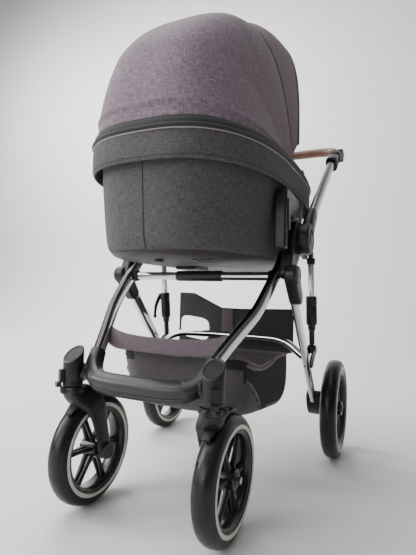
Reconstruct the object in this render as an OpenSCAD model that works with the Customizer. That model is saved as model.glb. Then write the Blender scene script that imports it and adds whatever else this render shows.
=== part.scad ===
// Baby stroller with a carrycot: a folding chassis on four wheels, a shopping basket and a hooded cot.
// X runs across the stroller (+X is its left side), -Y is its front, +Z is up, and the ground is z = 0.
// Lengths along Y are measured from the fold hinge's line and moved so that the origin is mid-length.

/* [Overall] */
// Distance along Y from the middle of the whole object to the fold hinge line
centre_y = 159.6; // [158:0.1:161]

/* [Rear wheels] */
// Rear wheel diameter
rear_wheel_d = 272; // [262:1:276]
// Distance between the rear wheels' centre planes
rear_track = 555; // [550:1:570]
// Rear axle line, along Y
rear_axle_y = 300; // [296:1:304]

/* [Front wheels] */
// Front wheel diameter
front_wheel_d = 231.6; // [224:0.1:234]
// Distance between the two swivel axes
front_track = 316; // [312:1:320]
// Swivel axes, along Y
swivel_y = -286.5; // [-290:0.5:-284]
// Distance that the wheel trails behind its swivel axis
trail = 66; // [60:1:70]
// Tyre width
tyre_w = 44; // [40:1:46]

/* [Chassis] */
// Height of the bumper bar's middle
bumper_z = 278; // [275:1:280]
// Half width of the bumper bar
bumper_half_w = 135; // [132:1:138]
// Width of the flat-oval frame tubes
tube_w = 27; // [24:1:28]
// Thickness of the flat-oval frame tubes
tube_t = 20; // [16:1:21]

/* [Handle] */
// Distance of each handle tube from the middle
handle_x = 245; // [244:1:247]
// Handlebar grip diameter
grip_d = 31; // [28:1:34]
// Bore for an accessory clip in each hinge housing
clip_bore_d = 10; // [8:1:11]

/* [Carrycot] */
// Half width of the carrycot at its zip
cot_half_w = 222; // [218:1:223]
// Height of the zip
zip_z = 762; // [758:1:766]
// Front end of the carrycot, along Y
cot_front_y = -315; // [-318:1:-310]
// Rear end of the carrycot, along Y
cot_rear_y = 462; // [455:1:468]
// Height of the underside of the tray
tray_z = 532; // [530:1:536]

/* [Hood] */
// Height of the hood's top above the ground
hood_top_z = 1179; // [1172:1:1184]
// Thickness of the hood's fabric and lining
hood_t = 5; // [4:1:6]

/* [Hidden] */
$fn = 48;

// Side of the stroller: left is +X
LEFT = 1;
RIGHT = -1;

// Main lines, as [y, z]
hinge_at = [40, 590];          // handle hinge, the main fold
leg_pivot_at = [-35, 501];     // rear legs' pivot on the front tubes
strut_top_at = [172, 565];     // struts' upper eye
strut_foot_at = [206, 310];    // struts' lower eye on the rear legs
tilt_at = [560, 955];          // handlebar's tilt knuckle
hood_pivot_at = [150, 779];    // hood's bows
rear_r = rear_wheel_d / 2;
front_r = front_wheel_d / 2;
front_hub_y = swivel_y + trail;
leg_x = 224;
strut_x = 230;
hinge_x = 203;                 // inner face of the hinge housings
gap = 0.4;                     // working gap between pieces that move past each other
pin_gap = 0.1;                 // radial clearance of a pin in its hole

// Angle in degrees of the line from a to b, in the YZ plane
function slope(a, b) = atan2(b[1] - a[1], b[0] - a[0]);
function mix(a, b, t) = a + (b - a) * t;

// Everything stands on the ground and is centred along Y
module place() translate([0, -centre_y, 0]) children();

// A copy on the left or right side
module on_side(side) mirror([side == LEFT ? 0 : 1, 0, 0]) children();

// A cylinder along X, from x0 to x1, at p = [y, z]
module x_rod(x0, x1, p, d) translate([x0, p[0], p[1]]) rotate([0, 90, 0]) cylinder(h = x1 - x0, d = d);

// A flat piece cut from an outline in the YZ plane, from x0 to x1
module yz_plate(x0, x1) translate([x0, 0, 0]) rotate([90, 0, 90]) linear_extrude(x1 - x0) children();

// A link outline between two round ends
module link_2d(a, b, da, db) hull() { translate(a) circle(d = da); translate(b) circle(d = db); }

// A closed skin over rings that all have the same number of points, each running anticlockwise as the
// rings advance. With joined set, the last ring joins the first and there are no end faces. A folded ring
// goes out along a sheet and comes back along its other side, and its ends are closed by a strip.
module skin(rings, joined = false, folded = false) {
    n = len(rings[0]);
    m = len(rings);
    points = [for (ring = rings) for (p = ring) p];
    sides = [for (i = [0 : joined ? m - 1 : m - 2]) for (j = [0 : n - 1])
        let (k = (j + 1) % n, a = i * n, b = ((i + 1) % m) * n)
        for (f = [[a + j, b + k, a + k], [a + j, b + j, b + k]]) f];
    end = folded ? [for (j = [0 : n / 2 - 2]) [j, j + 1, n - 2 - j, n - 1 - j]] : [[for (j = [0 : n - 1]) j]];
    ends = concat(end, [for (f = end) [for (k = [len(f) - 1 : -1 : 0]) (m - 1) * n + f[k]]]);
    polyhedron(points = points, faces = joined ? sides : concat(sides, ends), convexity = 6);
}

// A tube of flat-oval section swept along points; wide is the section's size in the path's own plane normal
function unit(v) = v / norm(v);
function ahead(path, i) = unit(path[min(i + 1, len(path) - 1)] - path[max(i - 1, 0)]);
function ring_at(p, t, side, w, d, n) = let (u = unit(side - (side * t) * t), v = cross(t, u))
    [for (j = [0 : n - 1]) let (a = 360 * j / n) p + u * (w / 2) * cos(a) + v * (d / 2) * sin(a)];
module sweep(path, side, w, d, n = 20)
    skin([for (i = [0 : len(path) - 1]) ring_at(path[i], ahead(path, i), side, w, d, n)]);

// A smooth path through hand-placed points (Catmull-Rom), with m steps a span
function spline_at(a, b, c, d, t) = 0.5 * (2 * b + (c - a) * t + (2 * a - 5 * b + 4 * c - d) * t * t
    + (3 * b - a - 3 * c + d) * t * t * t);
function smooth(p, m) = let (n = len(p)) concat([for (i = [0 : n - 2]) for (k = [0 : m - 1])
    spline_at(p[max(i - 1, 0)], p[i], p[i + 1], p[min(i + 2, n - 1)], k / m)], [p[n - 1]]);

// ---------------------------------------------------------------- chassis

// The bumper is one U-shaped moulding: a deep front bar whose ends rise into sleeves on the front tubes
module bumper() color("#1c1c1e") place() {
    hull() for (side = [LEFT, RIGHT]) on_side(side) {
        translate([110, -279, bumper_z]) sphere(r = 21, $fn = 24);
        translate([114, -256, bumper_z + 2]) sphere(r = 19, $fn = 24);
    }
    for (side = [LEFT, RIGHT]) on_side(side) {
        hull() {
            translate([116, -266, bumper_z]) sphere(r = 20, $fn = 24);
            translate([136, -262, bumper_z + 13]) sphere(r = 19, $fn = 24);
        }
        hull() {
            translate([136, -262, bumper_z + 13]) sphere(r = 19, $fn = 24);
            translate([135, -233, 335]) sphere(r = 16.5, $fn = 24);
        }
    }
    // a short rib under the bar, which carries the front end of the basket
    translate([-70, -262, 246]) cube([44, 14, 18]);
}

// One front tube, from the bumper's sleeve up to the hinge housing
front_tube_path = [[135, -231, 337], [147, -204, 355], [162, -177, 374], [180, -133, 416],
    [189, -92, 456], [194, -58, 488], [196.5, -36, 506]];
module front_tube(side) color("silver") place() on_side(side)
    sweep(smooth(front_tube_path, 2), [1, 0, 0], tube_t, tube_w, 24);
module left_front_tube() front_tube(LEFT);
module right_front_tube() front_tube(RIGHT);

// The hinge housing: a sleeve over the front tube's end, the handle's hinge disc, an arm back to the
// strut and a blind bore on its outer face, which takes the clip of a cup holder or a bag hook.
clip_at = [6, 544];
module hinge_housing(side) color("#19191b") place() on_side(side) {
    difference() {
        union() {
            yz_plate(hinge_x, 231) {
                link_2d([-30, 512], [24, 560], 38, 54);
                link_2d([24, 560], hinge_at, 54, 78);
                link_2d(hinge_at, [74, 614], 78, 44);
            }
            yz_plate(206, 220) link_2d([70, 604], strut_top_at, 30, 24);
            x_rod(220, 221.6, strut_top_at, 22);
            x_rod(198, 206, [-36, 506], 30);
        }
        x_rod(221, 232, hinge_at, 40);
        x_rod(207, 232, leg_pivot_at, 14 + 2 * pin_gap);
        x_rod(215, 232, leg_pivot_at, 47);
        yz_plate(216, 232) link_2d(leg_pivot_at, [10, 451], 47, 47);
        x_rod(217, 232, clip_at, clip_bore_d);
    }
    // hinge pin for the handle
    x_rod(220, 256, hinge_at, 16);
}
module left_hinge_housing() hinge_housing(LEFT);
module right_hinge_housing() hinge_housing(RIGHT);

// Cross tube between the two hinge housings, with its sleeve in the middle
cross_at = [-34, 498];
module cross_tube() color("silver") place() difference() {
    x_rod(-202, 202, cross_at, 20);
    x_rod(-203, 203, cross_at, 16);
}
module cross_sleeve() color("#161617") place() difference() {
    x_rod(-62, 62, cross_at, 26);
    x_rod(-63, 63, cross_at, 20);
}

// The swivel housing holds the fork's upright stem. Its cap is cut off at a slant that faces forward.
swivel_cap_z = 326;
swivel_foot_z = 262;
module swivel_housing(side) color("#1c1c1e") place() on_side(side)
    translate([front_track / 2, swivel_y, 0]) difference() {
        translate([0, 0, swivel_foot_z]) cylinder(h = swivel_cap_z + 16 - swivel_foot_z, d = 41);
        translate([0, 0, swivel_cap_z - 2]) rotate([38, 0, 0]) translate([-40, -60, 0]) cube([80, 120, 60]);
        translate([0, 0, swivel_foot_z - 1]) cylinder(h = 41, d = 16 + 2 * pin_gap);
    }
module left_swivel_housing() swivel_housing(LEFT);
module right_swivel_housing() swivel_housing(RIGHT);

// A small lever on the outer front of each swivel housing, which locks the wheel straight ahead
module swivel_lock(side) color("#2a2a2c") place() on_side(side)
    translate([front_track / 2, swivel_y, 0]) rotate([0, 0, -60]) translate([20.5 + gap, 0, 0]) {
        translate([0, -7, 270]) cube([7, 14, 26]);
        translate([4, -7, 262]) cube([9, 14, 9]);
    }
module left_swivel_lock() swivel_lock(LEFT);
module right_swivel_lock() swivel_lock(RIGHT);

// ---------------------------------------------------------------- basket

// The basket hangs under the cross tube: a fabric bag, open at the top
basket_rings = [
    // [front half width, rear half width, front y, rear y, front z, rear z]
    [146, 172, -92, 158, 190, 168], [160, 184, -124, 180, 240, 210], [160, 184, -150, 190, 326, 296],
    [156, 180, -146, 186, 326, 296], [154, 178, -114, 174, 242, 214], [140, 166, -86, 152, 195, 173]];
function basket_ring(r, e = 0.3) = [for (a = [0 : 15 : 345]) let (back = (1 + power_y(a, e)) / 2)
    [mix(r[0], r[1], back) * power_x(a, e), mix(r[2], r[3], back), mix(r[4], r[5], back)]];
module basket() color("#6d6570") place() skin([for (r = basket_rings) basket_ring(r)]);

// A strap that wraps both front tubes and closes the top of the basket's front wall
module basket_strap() color("#7b7280") place() {
    difference() {
        union() {
            translate([-152, -196, 330]) cube([304, 3, 26]);
            for (side = [LEFT, RIGHT]) on_side(side)
                translate([152, -193, 349]) rotate([52, 0, 0]) cylinder(h = 28, d = 42, center = true);
        }
        for (side = [LEFT, RIGHT]) on_side(side)
            translate([154, -190, 364]) rotate([-47, 24, 0]) cylinder(h = 90, d = 29, center = true);
    }
}

// The stiff rear panel of the basket hangs between the struts
module basket_rear_panel() color("#202022") place()
    yz_plate(-180, 180) polygon([[196, 300], [200, 410], [203, 410], [199, 300]]);

// ---------------------------------------------------------------- rear legs

leg_foot = [284, 141];
brake_at = [336, 122];         // brake pedal's pin
// A leg is a straight flat-oval tube, with its upper end at the pivot
module rear_leg(side) color("silver") place() on_side(side) {
    yz_plate(leg_x - 8, leg_x + 8) link_2d(leg_pivot_at, leg_foot, 30, 26);
}
module left_rear_leg() rear_leg(LEFT);
module right_rear_leg() rear_leg(RIGHT);

// Round caps that carry the legs' pivots, one on each side
module leg_pivot_caps() color("#161617") place()
    for (side = [LEFT, RIGHT]) on_side(side) {
        difference() {
            x_rod(232 + gap, 246, leg_pivot_at, 44);
            x_rod(244, 247, leg_pivot_at, 30);
        }
        x_rod(207, 233, leg_pivot_at, 14);
    }

// The arch joins the legs and holds the rear of the frame square
arch_path = [[-219, 144, 296], [-205, 147, 306], [-180, 151, 325], [-140, 155, 337], [-100, 156, 338],
    [0, 156, 338], [100, 156, 338], [140, 155, 337], [180, 151, 325], [205, 147, 306], [219, 144, 296]];
module rear_arch() color("silver") place() sweep(smooth(arch_path, 2), [0, 1, 0], 20, 20, 16);

// Blocks at the feet of the legs carry the rear wheels' stub axles
module axle_blocks() color("#1c1c1e") place() {
    for (side = [LEFT, RIGHT]) on_side(side) {
        yz_plate(206, 215.9) link_2d([268, 162], [rear_axle_y, rear_r], 40, 50);
        yz_plate(232.1, 244) link_2d([268, 162], [rear_axle_y, rear_r], 40, 50);
        yz_plate(206, 244) link_2d([rear_axle_y + 4, rear_r - 8], [rear_axle_y + 2, rear_r], 26, 40);
        x_rod(240, rear_track / 2 + 16, [rear_axle_y, rear_r], 12);
    }
    // the brake pedal's lug and pin
    on_side(RIGHT) {
        yz_plate(206, 214) link_2d([rear_axle_y, rear_r - 6], brake_at, 30, 18);
        x_rod(206, 238, brake_at, 6);
    }
}

// The brake pedal pivots on the right axle block
module brake_pedal() color("#3a3a3d") place() on_side(RIGHT) difference() {
    union() {
        x_rod(214 + gap, 236, brake_at, 17);
        hull() {
            translate([214 + gap, brake_at[0], brake_at[1] - 6]) cube([21, 8, 12]);
            translate([214 + gap, brake_at[0] + 36, brake_at[1] - 2]) cube([28, 9, 8]);
        }
    }
    x_rod(213, 237, brake_at, 6 + 2 * pin_gap);
}

// ---------------------------------------------------------------- struts

strut_dir = slope(strut_foot_at, strut_top_at);
module along_strut(side) translate([side * strut_x, strut_foot_at[0], strut_foot_at[1]])
    rotate([strut_dir - 90, 0, 0]) children();
strut_len = norm(strut_top_at - strut_foot_at);
sleeve_from = 70;
sleeve_top = 146;
rod_d = 16;
core_d = 9;
collar_at = 134;
// A cylinder across the strut at height z along it, from x0 to x1 measured outwards from its axis
module strut_cross(side, x0, x1, z, d, y = 0)
    translate([side > 0 ? x0 : -x1, y, z]) rotate([0, 90, 0]) cylinder(h = x1 - x0, d = d);

// The lower half of a strut: an eye on the leg's bracket, a narrow neck and a wide black sleeve
module strut_sleeve(side) color("#1a1a1c") place() along_strut(side) {
    difference() {
        union() {
            strut_cross(side, -5, 5, 0, 24);
            translate([-5, -7.5, 0]) cube([10, 15, 16]);
            translate([0, 0, 13]) cylinder(h = sleeve_from - 11, d = 15);
            translate([0, 0, sleeve_from]) cylinder(h = sleeve_top - sleeve_from, d = 29);
        }
        translate([0, 0, sleeve_from + 8]) cylinder(h = sleeve_top, d = rod_d + 2 * pin_gap);
        translate([0, 0, 14]) cylinder(h = sleeve_from, d = core_d + 2 * pin_gap);
        strut_cross(side, -6, 6, 0, 8 + 2 * pin_gap);
    }
    if (side == RIGHT) {
        strut_cross(side, 13, 24, collar_at, 8);
    }
}
module left_strut_sleeve() strut_sleeve(LEFT);
module right_strut_sleeve() strut_sleeve(RIGHT);

// The upper half of a strut: a chrome rod that slides out of the sleeve as the frame folds
module strut_rod(side) color("silver") place() along_strut(side) {
    translate([0, 0, sleeve_top - 24]) cylinder(h = strut_len - sleeve_top + 14, d = rod_d);
    translate([0, 0, 16]) cylinder(h = sleeve_top - 16, d = core_d);
    strut_cross(side, -5.5, 5.5, strut_len, 25);
}
module left_strut_rod() strut_rod(LEFT);
module right_strut_rod() strut_rod(RIGHT);

// Brackets on the legs: each is a fork that holds a strut's lower eye
module strut_feet() color("#1c1c1e") place()
    for (side = [LEFT, RIGHT]) {
        for (x = [side * strut_x - 10.5, side * strut_x + 5.5])
            yz_plate(x, x + 5) link_2d([160, 281], strut_foot_at, 30, 24);
        x_rod(side * strut_x - 8, side * strut_x + 8, strut_foot_at, 8);
    }

// A curved hook on the right strut, which holds the folded frame shut
module transport_hook() color("#232325") place() along_strut(RIGHT) difference() {
    union() {
        yz_at_strut() link_2d([0, collar_at], [-26, collar_at - 24], 18, 12);
        yz_at_strut() link_2d([-26, collar_at - 24], [-34, collar_at - 58], 12, 9);
    }
    strut_cross(RIGHT, 10, 30, collar_at, 8 + 2 * pin_gap);
}
module yz_at_strut() yz_plate(-22, -16) children();

// ---------------------------------------------------------------- handle

handle_path = [[handle_x, 56, 618], [handle_x, 81, 642], [handle_x, 217, 744], [handle_x, 401, 876],
    [handle_x, 480, 920], [handle_x, 520, 940]];
module handle_tube(side) color("#77787c") place() on_side(side)
    sweep(smooth(handle_path, 3), [0, 0.6, -0.8], 29, 22, 24);
module left_handle_tube() handle_tube(LEFT);
module right_handle_tube() handle_tube(RIGHT);

// The handle's half of the fold hinge: a disc on the housing's pin, with a socket for the tube
module handle_hinge(side) color("#19191b") place() on_side(side) difference() {
    union() {
        x_rod(231 + gap, 258, hinge_at, 74);
        yz_plate(231 + gap, 258) link_2d(hinge_at, [86, 646], 62, 36);
    }
    x_rod(220, 257, hinge_at, 16 + 2 * pin_gap);
}
module left_handle_hinge() handle_hinge(LEFT);
module right_handle_hinge() handle_hinge(RIGHT);

// A slider round each handle tube: pulling both unlocks the fold
slider_at = [430, 894];
slider_tilt = 30;
module release_slider(side) color("#1d1d1f") place() on_side(side)
    translate([handle_x, slider_at[0], slider_at[1]]) rotate([slider_tilt - 90, 0, 0]) difference() {
        union() {
            translate([-17, -22, -24]) cube([34, 44, 48]);
            translate([-19, -8, -34]) cube([38, 28, 24]);
        }
        translate([-12, -18, -60]) cube([24, 36, 120]);
    }
module left_release_slider() release_slider(LEFT);
module right_release_slider() release_slider(RIGHT);

// The fixed half of each tilt knuckle closes the end of the handle tube
module tilt_knuckle(side) color("#1b1b1d") place() on_side(side) difference() {
    union() {
        x_rod(handle_x - 3, handle_x + 16, tilt_at, 46);
        yz_plate(handle_x - 14, handle_x + 14) link_2d([514, 937], [522, 941], 34, 30);
        yz_plate(handle_x - 3, handle_x + 14) link_2d([522, 941], tilt_at, 32, 34);
    }
    x_rod(handle_x - 15, handle_x + 17, tilt_at, 22);
}
module left_tilt_knuckle() tilt_knuckle(LEFT);
module right_tilt_knuckle() tilt_knuckle(RIGHT);

// Round push buttons in the knuckles: pressing both lets the handlebar tilt
module tilt_button(side) color("#8c8d90") place() on_side(side)
    x_rod(handle_x + 5, handle_x + 19, tilt_at, 22 - 2 * pin_gap);
module left_tilt_button() tilt_button(LEFT);
module right_tilt_button() tilt_button(RIGHT);

// The handlebar turns between the knuckles: two short black arms and a bar under the leather
module handlebar() color("#1b1b1d") place() {
    for (side = [LEFT, RIGHT]) on_side(side) {
        difference() {
            x_rod(handle_x - 24, handle_x - 3 - gap, tilt_at, 44);
            x_rod(handle_x - 10, handle_x - 2, tilt_at, 22.4);
        }
        yz_plate(handle_x - 24, handle_x - 4) link_2d(tilt_at, [598, 978], 40, 30);
    }
    sweep(grip_path, [0, 1, 0], grip_d - 10, grip_d - 10, 12);
}

// The leather grip follows a shallow bow from arm to arm
grip_path = smooth([[-222, 606, 983], [-214, 620, 991], [-194, 631, 997], [-160, 636, 1000],
    [-80, 639, 1001.5], [0, 640, 1002], [80, 639, 1001.5], [160, 636, 1000], [194, 631, 997],
    [214, 620, 991], [222, 606, 983]], 2);
module handlebar_grip() color("#7a4a30") place() {
    m = len(grip_path);
    ends = [for (i = [3 : m - 4]) grip_path[i]];
    outer = [for (i = [0 : len(ends) - 1]) ring_at(ends[i], ahead(ends, i), [0, 1, 0], grip_d, grip_d, 16)];
    inner = [for (i = [len(ends) - 1 : -1 : 0])
        ring_at(ends[i], ahead(ends, i), [0, 1, 0], grip_d - 9, grip_d - 9, 16)];
    skin(concat(outer, inner), joined = true);
}

// ---------------------------------------------------------------- front wheels

// A fork: upright stem, saddle over the tyre and one arm on the inner side of the wheel
fork_arm_x = front_track / 2 - tyre_w / 2 - 6;
module fork(side) color("#1a1a1c") place() on_side(side) {
    translate([front_track / 2, swivel_y, 244]) cylinder(h = 54, d = 16);
    translate([front_track / 2, swivel_y, 236]) cylinder(h = swivel_foot_z - gap - 236, d = 36);
    difference() {
        hull() {
            translate([front_track / 2, swivel_y, 238]) cylinder(h = 12, d = 34, $fn = 32);
            translate([fork_arm_x - 13, swivel_y + 18, 196]) cube([13, 44, 40]);
            translate([front_track / 2 - 8, swivel_y + 30, 236]) cube([20, 26, 8]);
        }
        translate([front_track / 2 - tyre_w / 2 - 3, front_hub_y, front_r]) rotate([0, 90, 0])
            cylinder(h = 90, d = front_wheel_d + 8);
    }
    yz_plate(fork_arm_x - 13, fork_arm_x) link_2d([swivel_y + 42, 212], [front_hub_y, front_r], 42, 32);
    x_rod(fork_arm_x - 18, fork_arm_x - 12, [front_hub_y, front_r], 34);
    x_rod(fork_arm_x - 4, front_track / 2 + 18, [front_hub_y, front_r], 12);
}
module left_fork() fork(LEFT);
module right_fork() fork(RIGHT);

// A tyre with its middle plane at x = 0 and a seat that fits the rim
module tyre(r, w) rotate([0, 90, 0]) rotate_extrude($fn = 96) difference() {
    intersection() {
        translate([r - 34, 0]) circle(r = 34, $fn = 64);
        translate([r - 30, -w / 2]) square([30, w]);
    }
    translate([r - 40, -w / 2 - 1]) square([12, w + 2]);
}

// A six-spoke rim with a hub that runs on the axle
module rim(r, w, hub_in, hub_out) {
    rim_r = r - 28;
    rotate([0, 90, 0]) difference() {
        union() {
            rotate_extrude($fn = 96) polygon([[rim_r - 9, -w / 2 + 5], [rim_r, -w / 2 + 4],
                [rim_r, w / 2 - 4], [rim_r - 9, w / 2 - 5]]);
            for (k = [0 : 5]) rotate([0, 0, 60 * k + 30]) translate([12, -9, -6])
                cube([rim_r - 16, 18, 12]);
            translate([0, 0, -hub_in]) cylinder(h = hub_in + hub_out, d = 40);
        }
        translate([0, 0, -hub_in - 1]) cylinder(h = hub_in + hub_out - 3, d = 12 + 2 * pin_gap);
    }
}

module front_wheel_at(side) place() on_side(side)
    translate([front_track / 2, front_hub_y, front_r]) children();
module left_front_tyre() color("#19191a") front_wheel_at(LEFT) tyre(front_r, tyre_w);
module right_front_tyre() color("#19191a") front_wheel_at(RIGHT) tyre(front_r, tyre_w);
module left_front_rim() color("#222224") front_wheel_at(LEFT) rim(front_r, tyre_w, 20, 22);
module right_front_rim() color("#222224") front_wheel_at(RIGHT) rim(front_r, tyre_w, 20, 22);

module rear_wheel_at(side) place() on_side(side)
    translate([rear_track / 2, rear_axle_y, rear_r]) children();
module left_rear_tyre() color("#19191a") rear_wheel_at(LEFT) tyre(rear_r, tyre_w);
module right_rear_tyre() color("#19191a") rear_wheel_at(RIGHT) tyre(rear_r, tyre_w);
module left_rear_rim() color("#222224") rear_wheel_at(LEFT) rim(rear_r, tyre_w, 22, 22);
module right_rear_rim() color("#222224") rear_wheel_at(RIGHT) rim(rear_r, tyre_w, 22, 22);

// ---------------------------------------------------------------- carrycot

// Plan outline of the carrycot: a long oval, blunter at the rear. s shrinks it towards its middle.
cot_mid_y = 60;
function power_x(a, e) = sign(cos(a)) * pow(abs(cos(a)), e);
function power_y(a, e) = sign(sin(a)) * pow(abs(sin(a)), e);
function cot_ring(half_w, front, rear, z, n = 40, e = 0.72) = [for (j = [0 : n - 1]) let (a = 360 * j / n)
    [half_w * power_x(a, e), cot_mid_y + (sin(a) < 0 ? cot_mid_y - front : rear - cot_mid_y) * power_y(a, e), z]];

module carrycot_shell() color("#77737a") place() skin([
    cot_ring(cot_half_w - 40, cot_front_y + 46, cot_rear_y - 40, tray_z + 9),
    cot_ring(cot_half_w - 32, cot_front_y + 34, cot_rear_y - 28, tray_z + 36),
    cot_ring(cot_half_w - 22, cot_front_y + 20, cot_rear_y - 16, 698),
    cot_ring(cot_half_w - 6, cot_front_y + 5, cot_rear_y - 4, 700),
    cot_ring(cot_half_w - 2, cot_front_y + 4, cot_rear_y - 2, zip_z - 6),
    cot_ring(cot_half_w - 18, cot_front_y + 20, cot_rear_y - 18, zip_z - 6),
    cot_ring(cot_half_w - 28, cot_front_y + 26, cot_rear_y - 24, 698),
    cot_ring(cot_half_w - 40, cot_front_y + 50, cot_rear_y - 40, tray_z + 60),
    cot_ring(cot_half_w - 56, cot_front_y + 68, cot_rear_y - 56, tray_z + 22)]);

// The zip that runs round the top of the shell
module carrycot_zip() color("#141415") place() skin([
    cot_ring(cot_half_w - 12, cot_front_y + 14, cot_rear_y - 12, zip_z - 5.9),
    cot_ring(cot_half_w - 2, cot_front_y + 4, cot_rear_y - 2, zip_z - 5.9),
    cot_ring(cot_half_w, cot_front_y + 2, cot_rear_y, zip_z - 3),
    cot_ring(cot_half_w, cot_front_y + 2, cot_rear_y, zip_z + 3),
    cot_ring(cot_half_w - 2, cot_front_y + 4, cot_rear_y - 2, zip_z + 6),
    cot_ring(cot_half_w - 12, cot_front_y + 14, cot_rear_y - 12, zip_z + 6)], joined = true);

// The hard tray under the shell, with a box for the backrest's mechanism
module carrycot_tray() color("#3b3230") place() {
    skin([cot_ring(cot_half_w - 62, cot_front_y + 74, cot_rear_y - 66, tray_z),
        cot_ring(cot_half_w - 44, cot_front_y + 52, cot_rear_y - 46, tray_z + 3),
        cot_ring(cot_half_w - 40, cot_front_y + 46, cot_rear_y - 40, tray_z + 8.8)]);
    translate([-96, 10, tray_z - 9]) cube([60, 90, 10]);
}

module mattress() color("#e7e4df") place() skin([
    cot_ring(cot_half_w - 60, cot_front_y + 72, cot_rear_y - 60, tray_z + 23),
    cot_ring(cot_half_w - 54, cot_front_y + 66, cot_rear_y - 54, tray_z + 34),
    cot_ring(cot_half_w - 54, cot_front_y + 66, cot_rear_y - 54, tray_z + 46),
    cot_ring(cot_half_w - 62, cot_front_y + 74, cot_rear_y - 62, tray_z + 52)]);

// The foot cover is zipped on over the rear half and rises in a low dome
apron_from_y = 212;
module apron() color("#77737a") place() intersection() {
    skin([cot_ring(cot_half_w - 80, cot_front_y + 82, cot_rear_y - 80, zip_z + 31),
        cot_ring(cot_half_w - 26, cot_front_y + 28, cot_rear_y - 26, zip_z + 25),
        cot_ring(cot_half_w - 10, cot_front_y + 12, cot_rear_y - 10, zip_z + 14),
        cot_ring(cot_half_w - 10, cot_front_y + 12, cot_rear_y - 10, zip_z + 6.3),
        cot_ring(cot_half_w - 2.5, cot_front_y + 4.5, cot_rear_y - 2.5, zip_z + 6.3),
        cot_ring(cot_half_w - 6, cot_front_y + 8, cot_rear_y - 6, zip_z + 16),
        cot_ring(cot_half_w - 26, cot_front_y + 28, cot_rear_y - 26, zip_z + 28),
        cot_ring(cot_half_w - 80, cot_front_y + 82, cot_rear_y - 80, zip_z + 34)]);
    translate([-300, apron_from_y, zip_z]) cube([600, 400, 60]);
}

// Brackets on the shell's sides that stand on the hinge housings
module cot_brackets() color("#18181a") place()
    for (side = [LEFT, RIGHT]) on_side(side) {
        translate([199, -80, 640]) cube([27, 130, 44]);
        translate([197, -80, 556]) cube([29, 26, 90]);
    }

// Hubs on the shell's rim carry the hood's bows
module hood_hubs() color("#18181a") place()
    for (side = [LEFT, RIGHT]) on_side(side) {
        x_rod(196, 212, hood_pivot_at, 26);
        x_rod(165, 197, hood_pivot_at, 8);
        translate([200, hood_pivot_at[0] - 12, zip_z - 20]) cube([8, 24, 34]);
    }

// A small knob under the shell's front sets the backrest inside
knob_at = [-20, -190];
module backrest_knob() color("#121213") place() translate([knob_at[0], knob_at[1], 0])
    translate([0, 0, tray_z - 12]) cylinder(h = 11.6, d = 20);

// ---------------------------------------------------------------- hood

// The hood is a fan of arches about one pivot line. At each angle up from the front an arch has its own
// reach, half width and squareness: the hood narrows above its hem and is boxier at its rear edge.
arch_reach = [[0, 459], [22, 457], [45, 416], [67, hood_top_z - 786], [92, hood_top_z - hood_pivot_at[1]]];
arch_half_w = [[0, 214], [22, 182], [45, 188], [67, 190], [92, 196]];
arch_power = [[0, 0.66], [22, 0.66], [45, 0.58], [67, 0.6], [92, 0.46]];
function hood_arch(a, shrink, n = 20) = let (e = lookup(a, arch_power), r = lookup(a, arch_reach) - shrink)
    [for (j = [0 : n]) let (t = mix(1.5, 178.5, j / n), out = r * pow(sin(t), e))
    [(lookup(a, arch_half_w) - shrink) * power_x(t, e), hood_pivot_at[0] - out * cos(a),
    hood_pivot_at[1] + out * sin(a)]];
// A sheet of the hood between two angles: outer arches one way, inner arches back
module hood_sheet(a0, a1, steps) skin([for (i = [steps : -1 : 0]) let (a = mix(a0, a1, i / steps))
    concat(hood_arch(a, 0), [for (p = hood_arch(a, hood_t)) [-p[0], p[1], p[2]]])], folded = true);
mid_angle = 61;
rear_angle = 92;
module hood_front() color("#8b8291") place() hood_sheet(0, mid_angle, 10);
module hood_rear() color("#8b8291") place() hood_sheet(mid_angle + 0.3, rear_angle, 5);

// Bows: flat plastic hoops inside the fabric, with eyes on the hubs' pins
module bow(a, shrink, eye_x) {
    arch = hood_arch(a, shrink);
    half = (len(arch) - 1) / 2;
    for (side = [LEFT, RIGHT]) on_side(side) difference() {
        x_rod(eye_x - 3, eye_x + 3, hood_pivot_at, 20);
        x_rod(eye_x - 4, eye_x + 4, hood_pivot_at, 8 + 2 * pin_gap);
    }
    start = [[eye_x, hood_pivot_at[0] - 6 * cos(a), hood_pivot_at[1] + 6 * sin(a)]];
    end = [[-start[0][0], start[0][1], start[0][2]]];
    sweep(concat(start, [for (i = [1 : len(arch) - 2]) arch[i]], end), [0, sin(a), cos(a)], 12, 4, 8);
}
module hood_mid_bow() color("#1a1a1c") place() bow(mid_angle - 3, hood_t + 5, 180);
module hood_rear_bow() color("#1a1a1c") place() bow(rear_angle - 3, hood_t + 12, 169);

bumper();
left_front_tube();
right_front_tube();
left_hinge_housing();
right_hinge_housing();
cross_tube();
cross_sleeve();
left_swivel_housing();
right_swivel_housing();
basket();
basket_strap();
basket_rear_panel();
left_swivel_lock();
right_swivel_lock();
left_handle_tube();
right_handle_tube();
left_handle_hinge();
right_handle_hinge();
left_tilt_knuckle();
right_tilt_knuckle();
left_release_slider();
right_release_slider();
left_tilt_button();
right_tilt_button();
handlebar();
handlebar_grip();
left_rear_leg();
right_rear_leg();
leg_pivot_caps();
rear_arch();
axle_blocks();
brake_pedal();
left_strut_sleeve();
right_strut_sleeve();
left_strut_rod();
right_strut_rod();
strut_feet();
transport_hook();
left_fork();
right_fork();
left_front_tyre();
right_front_tyre();
left_front_rim();
right_front_rim();
left_rear_tyre();
right_rear_tyre();
left_rear_rim();
right_rear_rim();
carrycot_shell();
carrycot_zip();
carrycot_tray();
mattress();
apron();
cot_brackets();
hood_hubs();
backrest_knob();
hood_front();
hood_rear();
hood_mid_bow();
hood_rear_bow();
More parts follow.
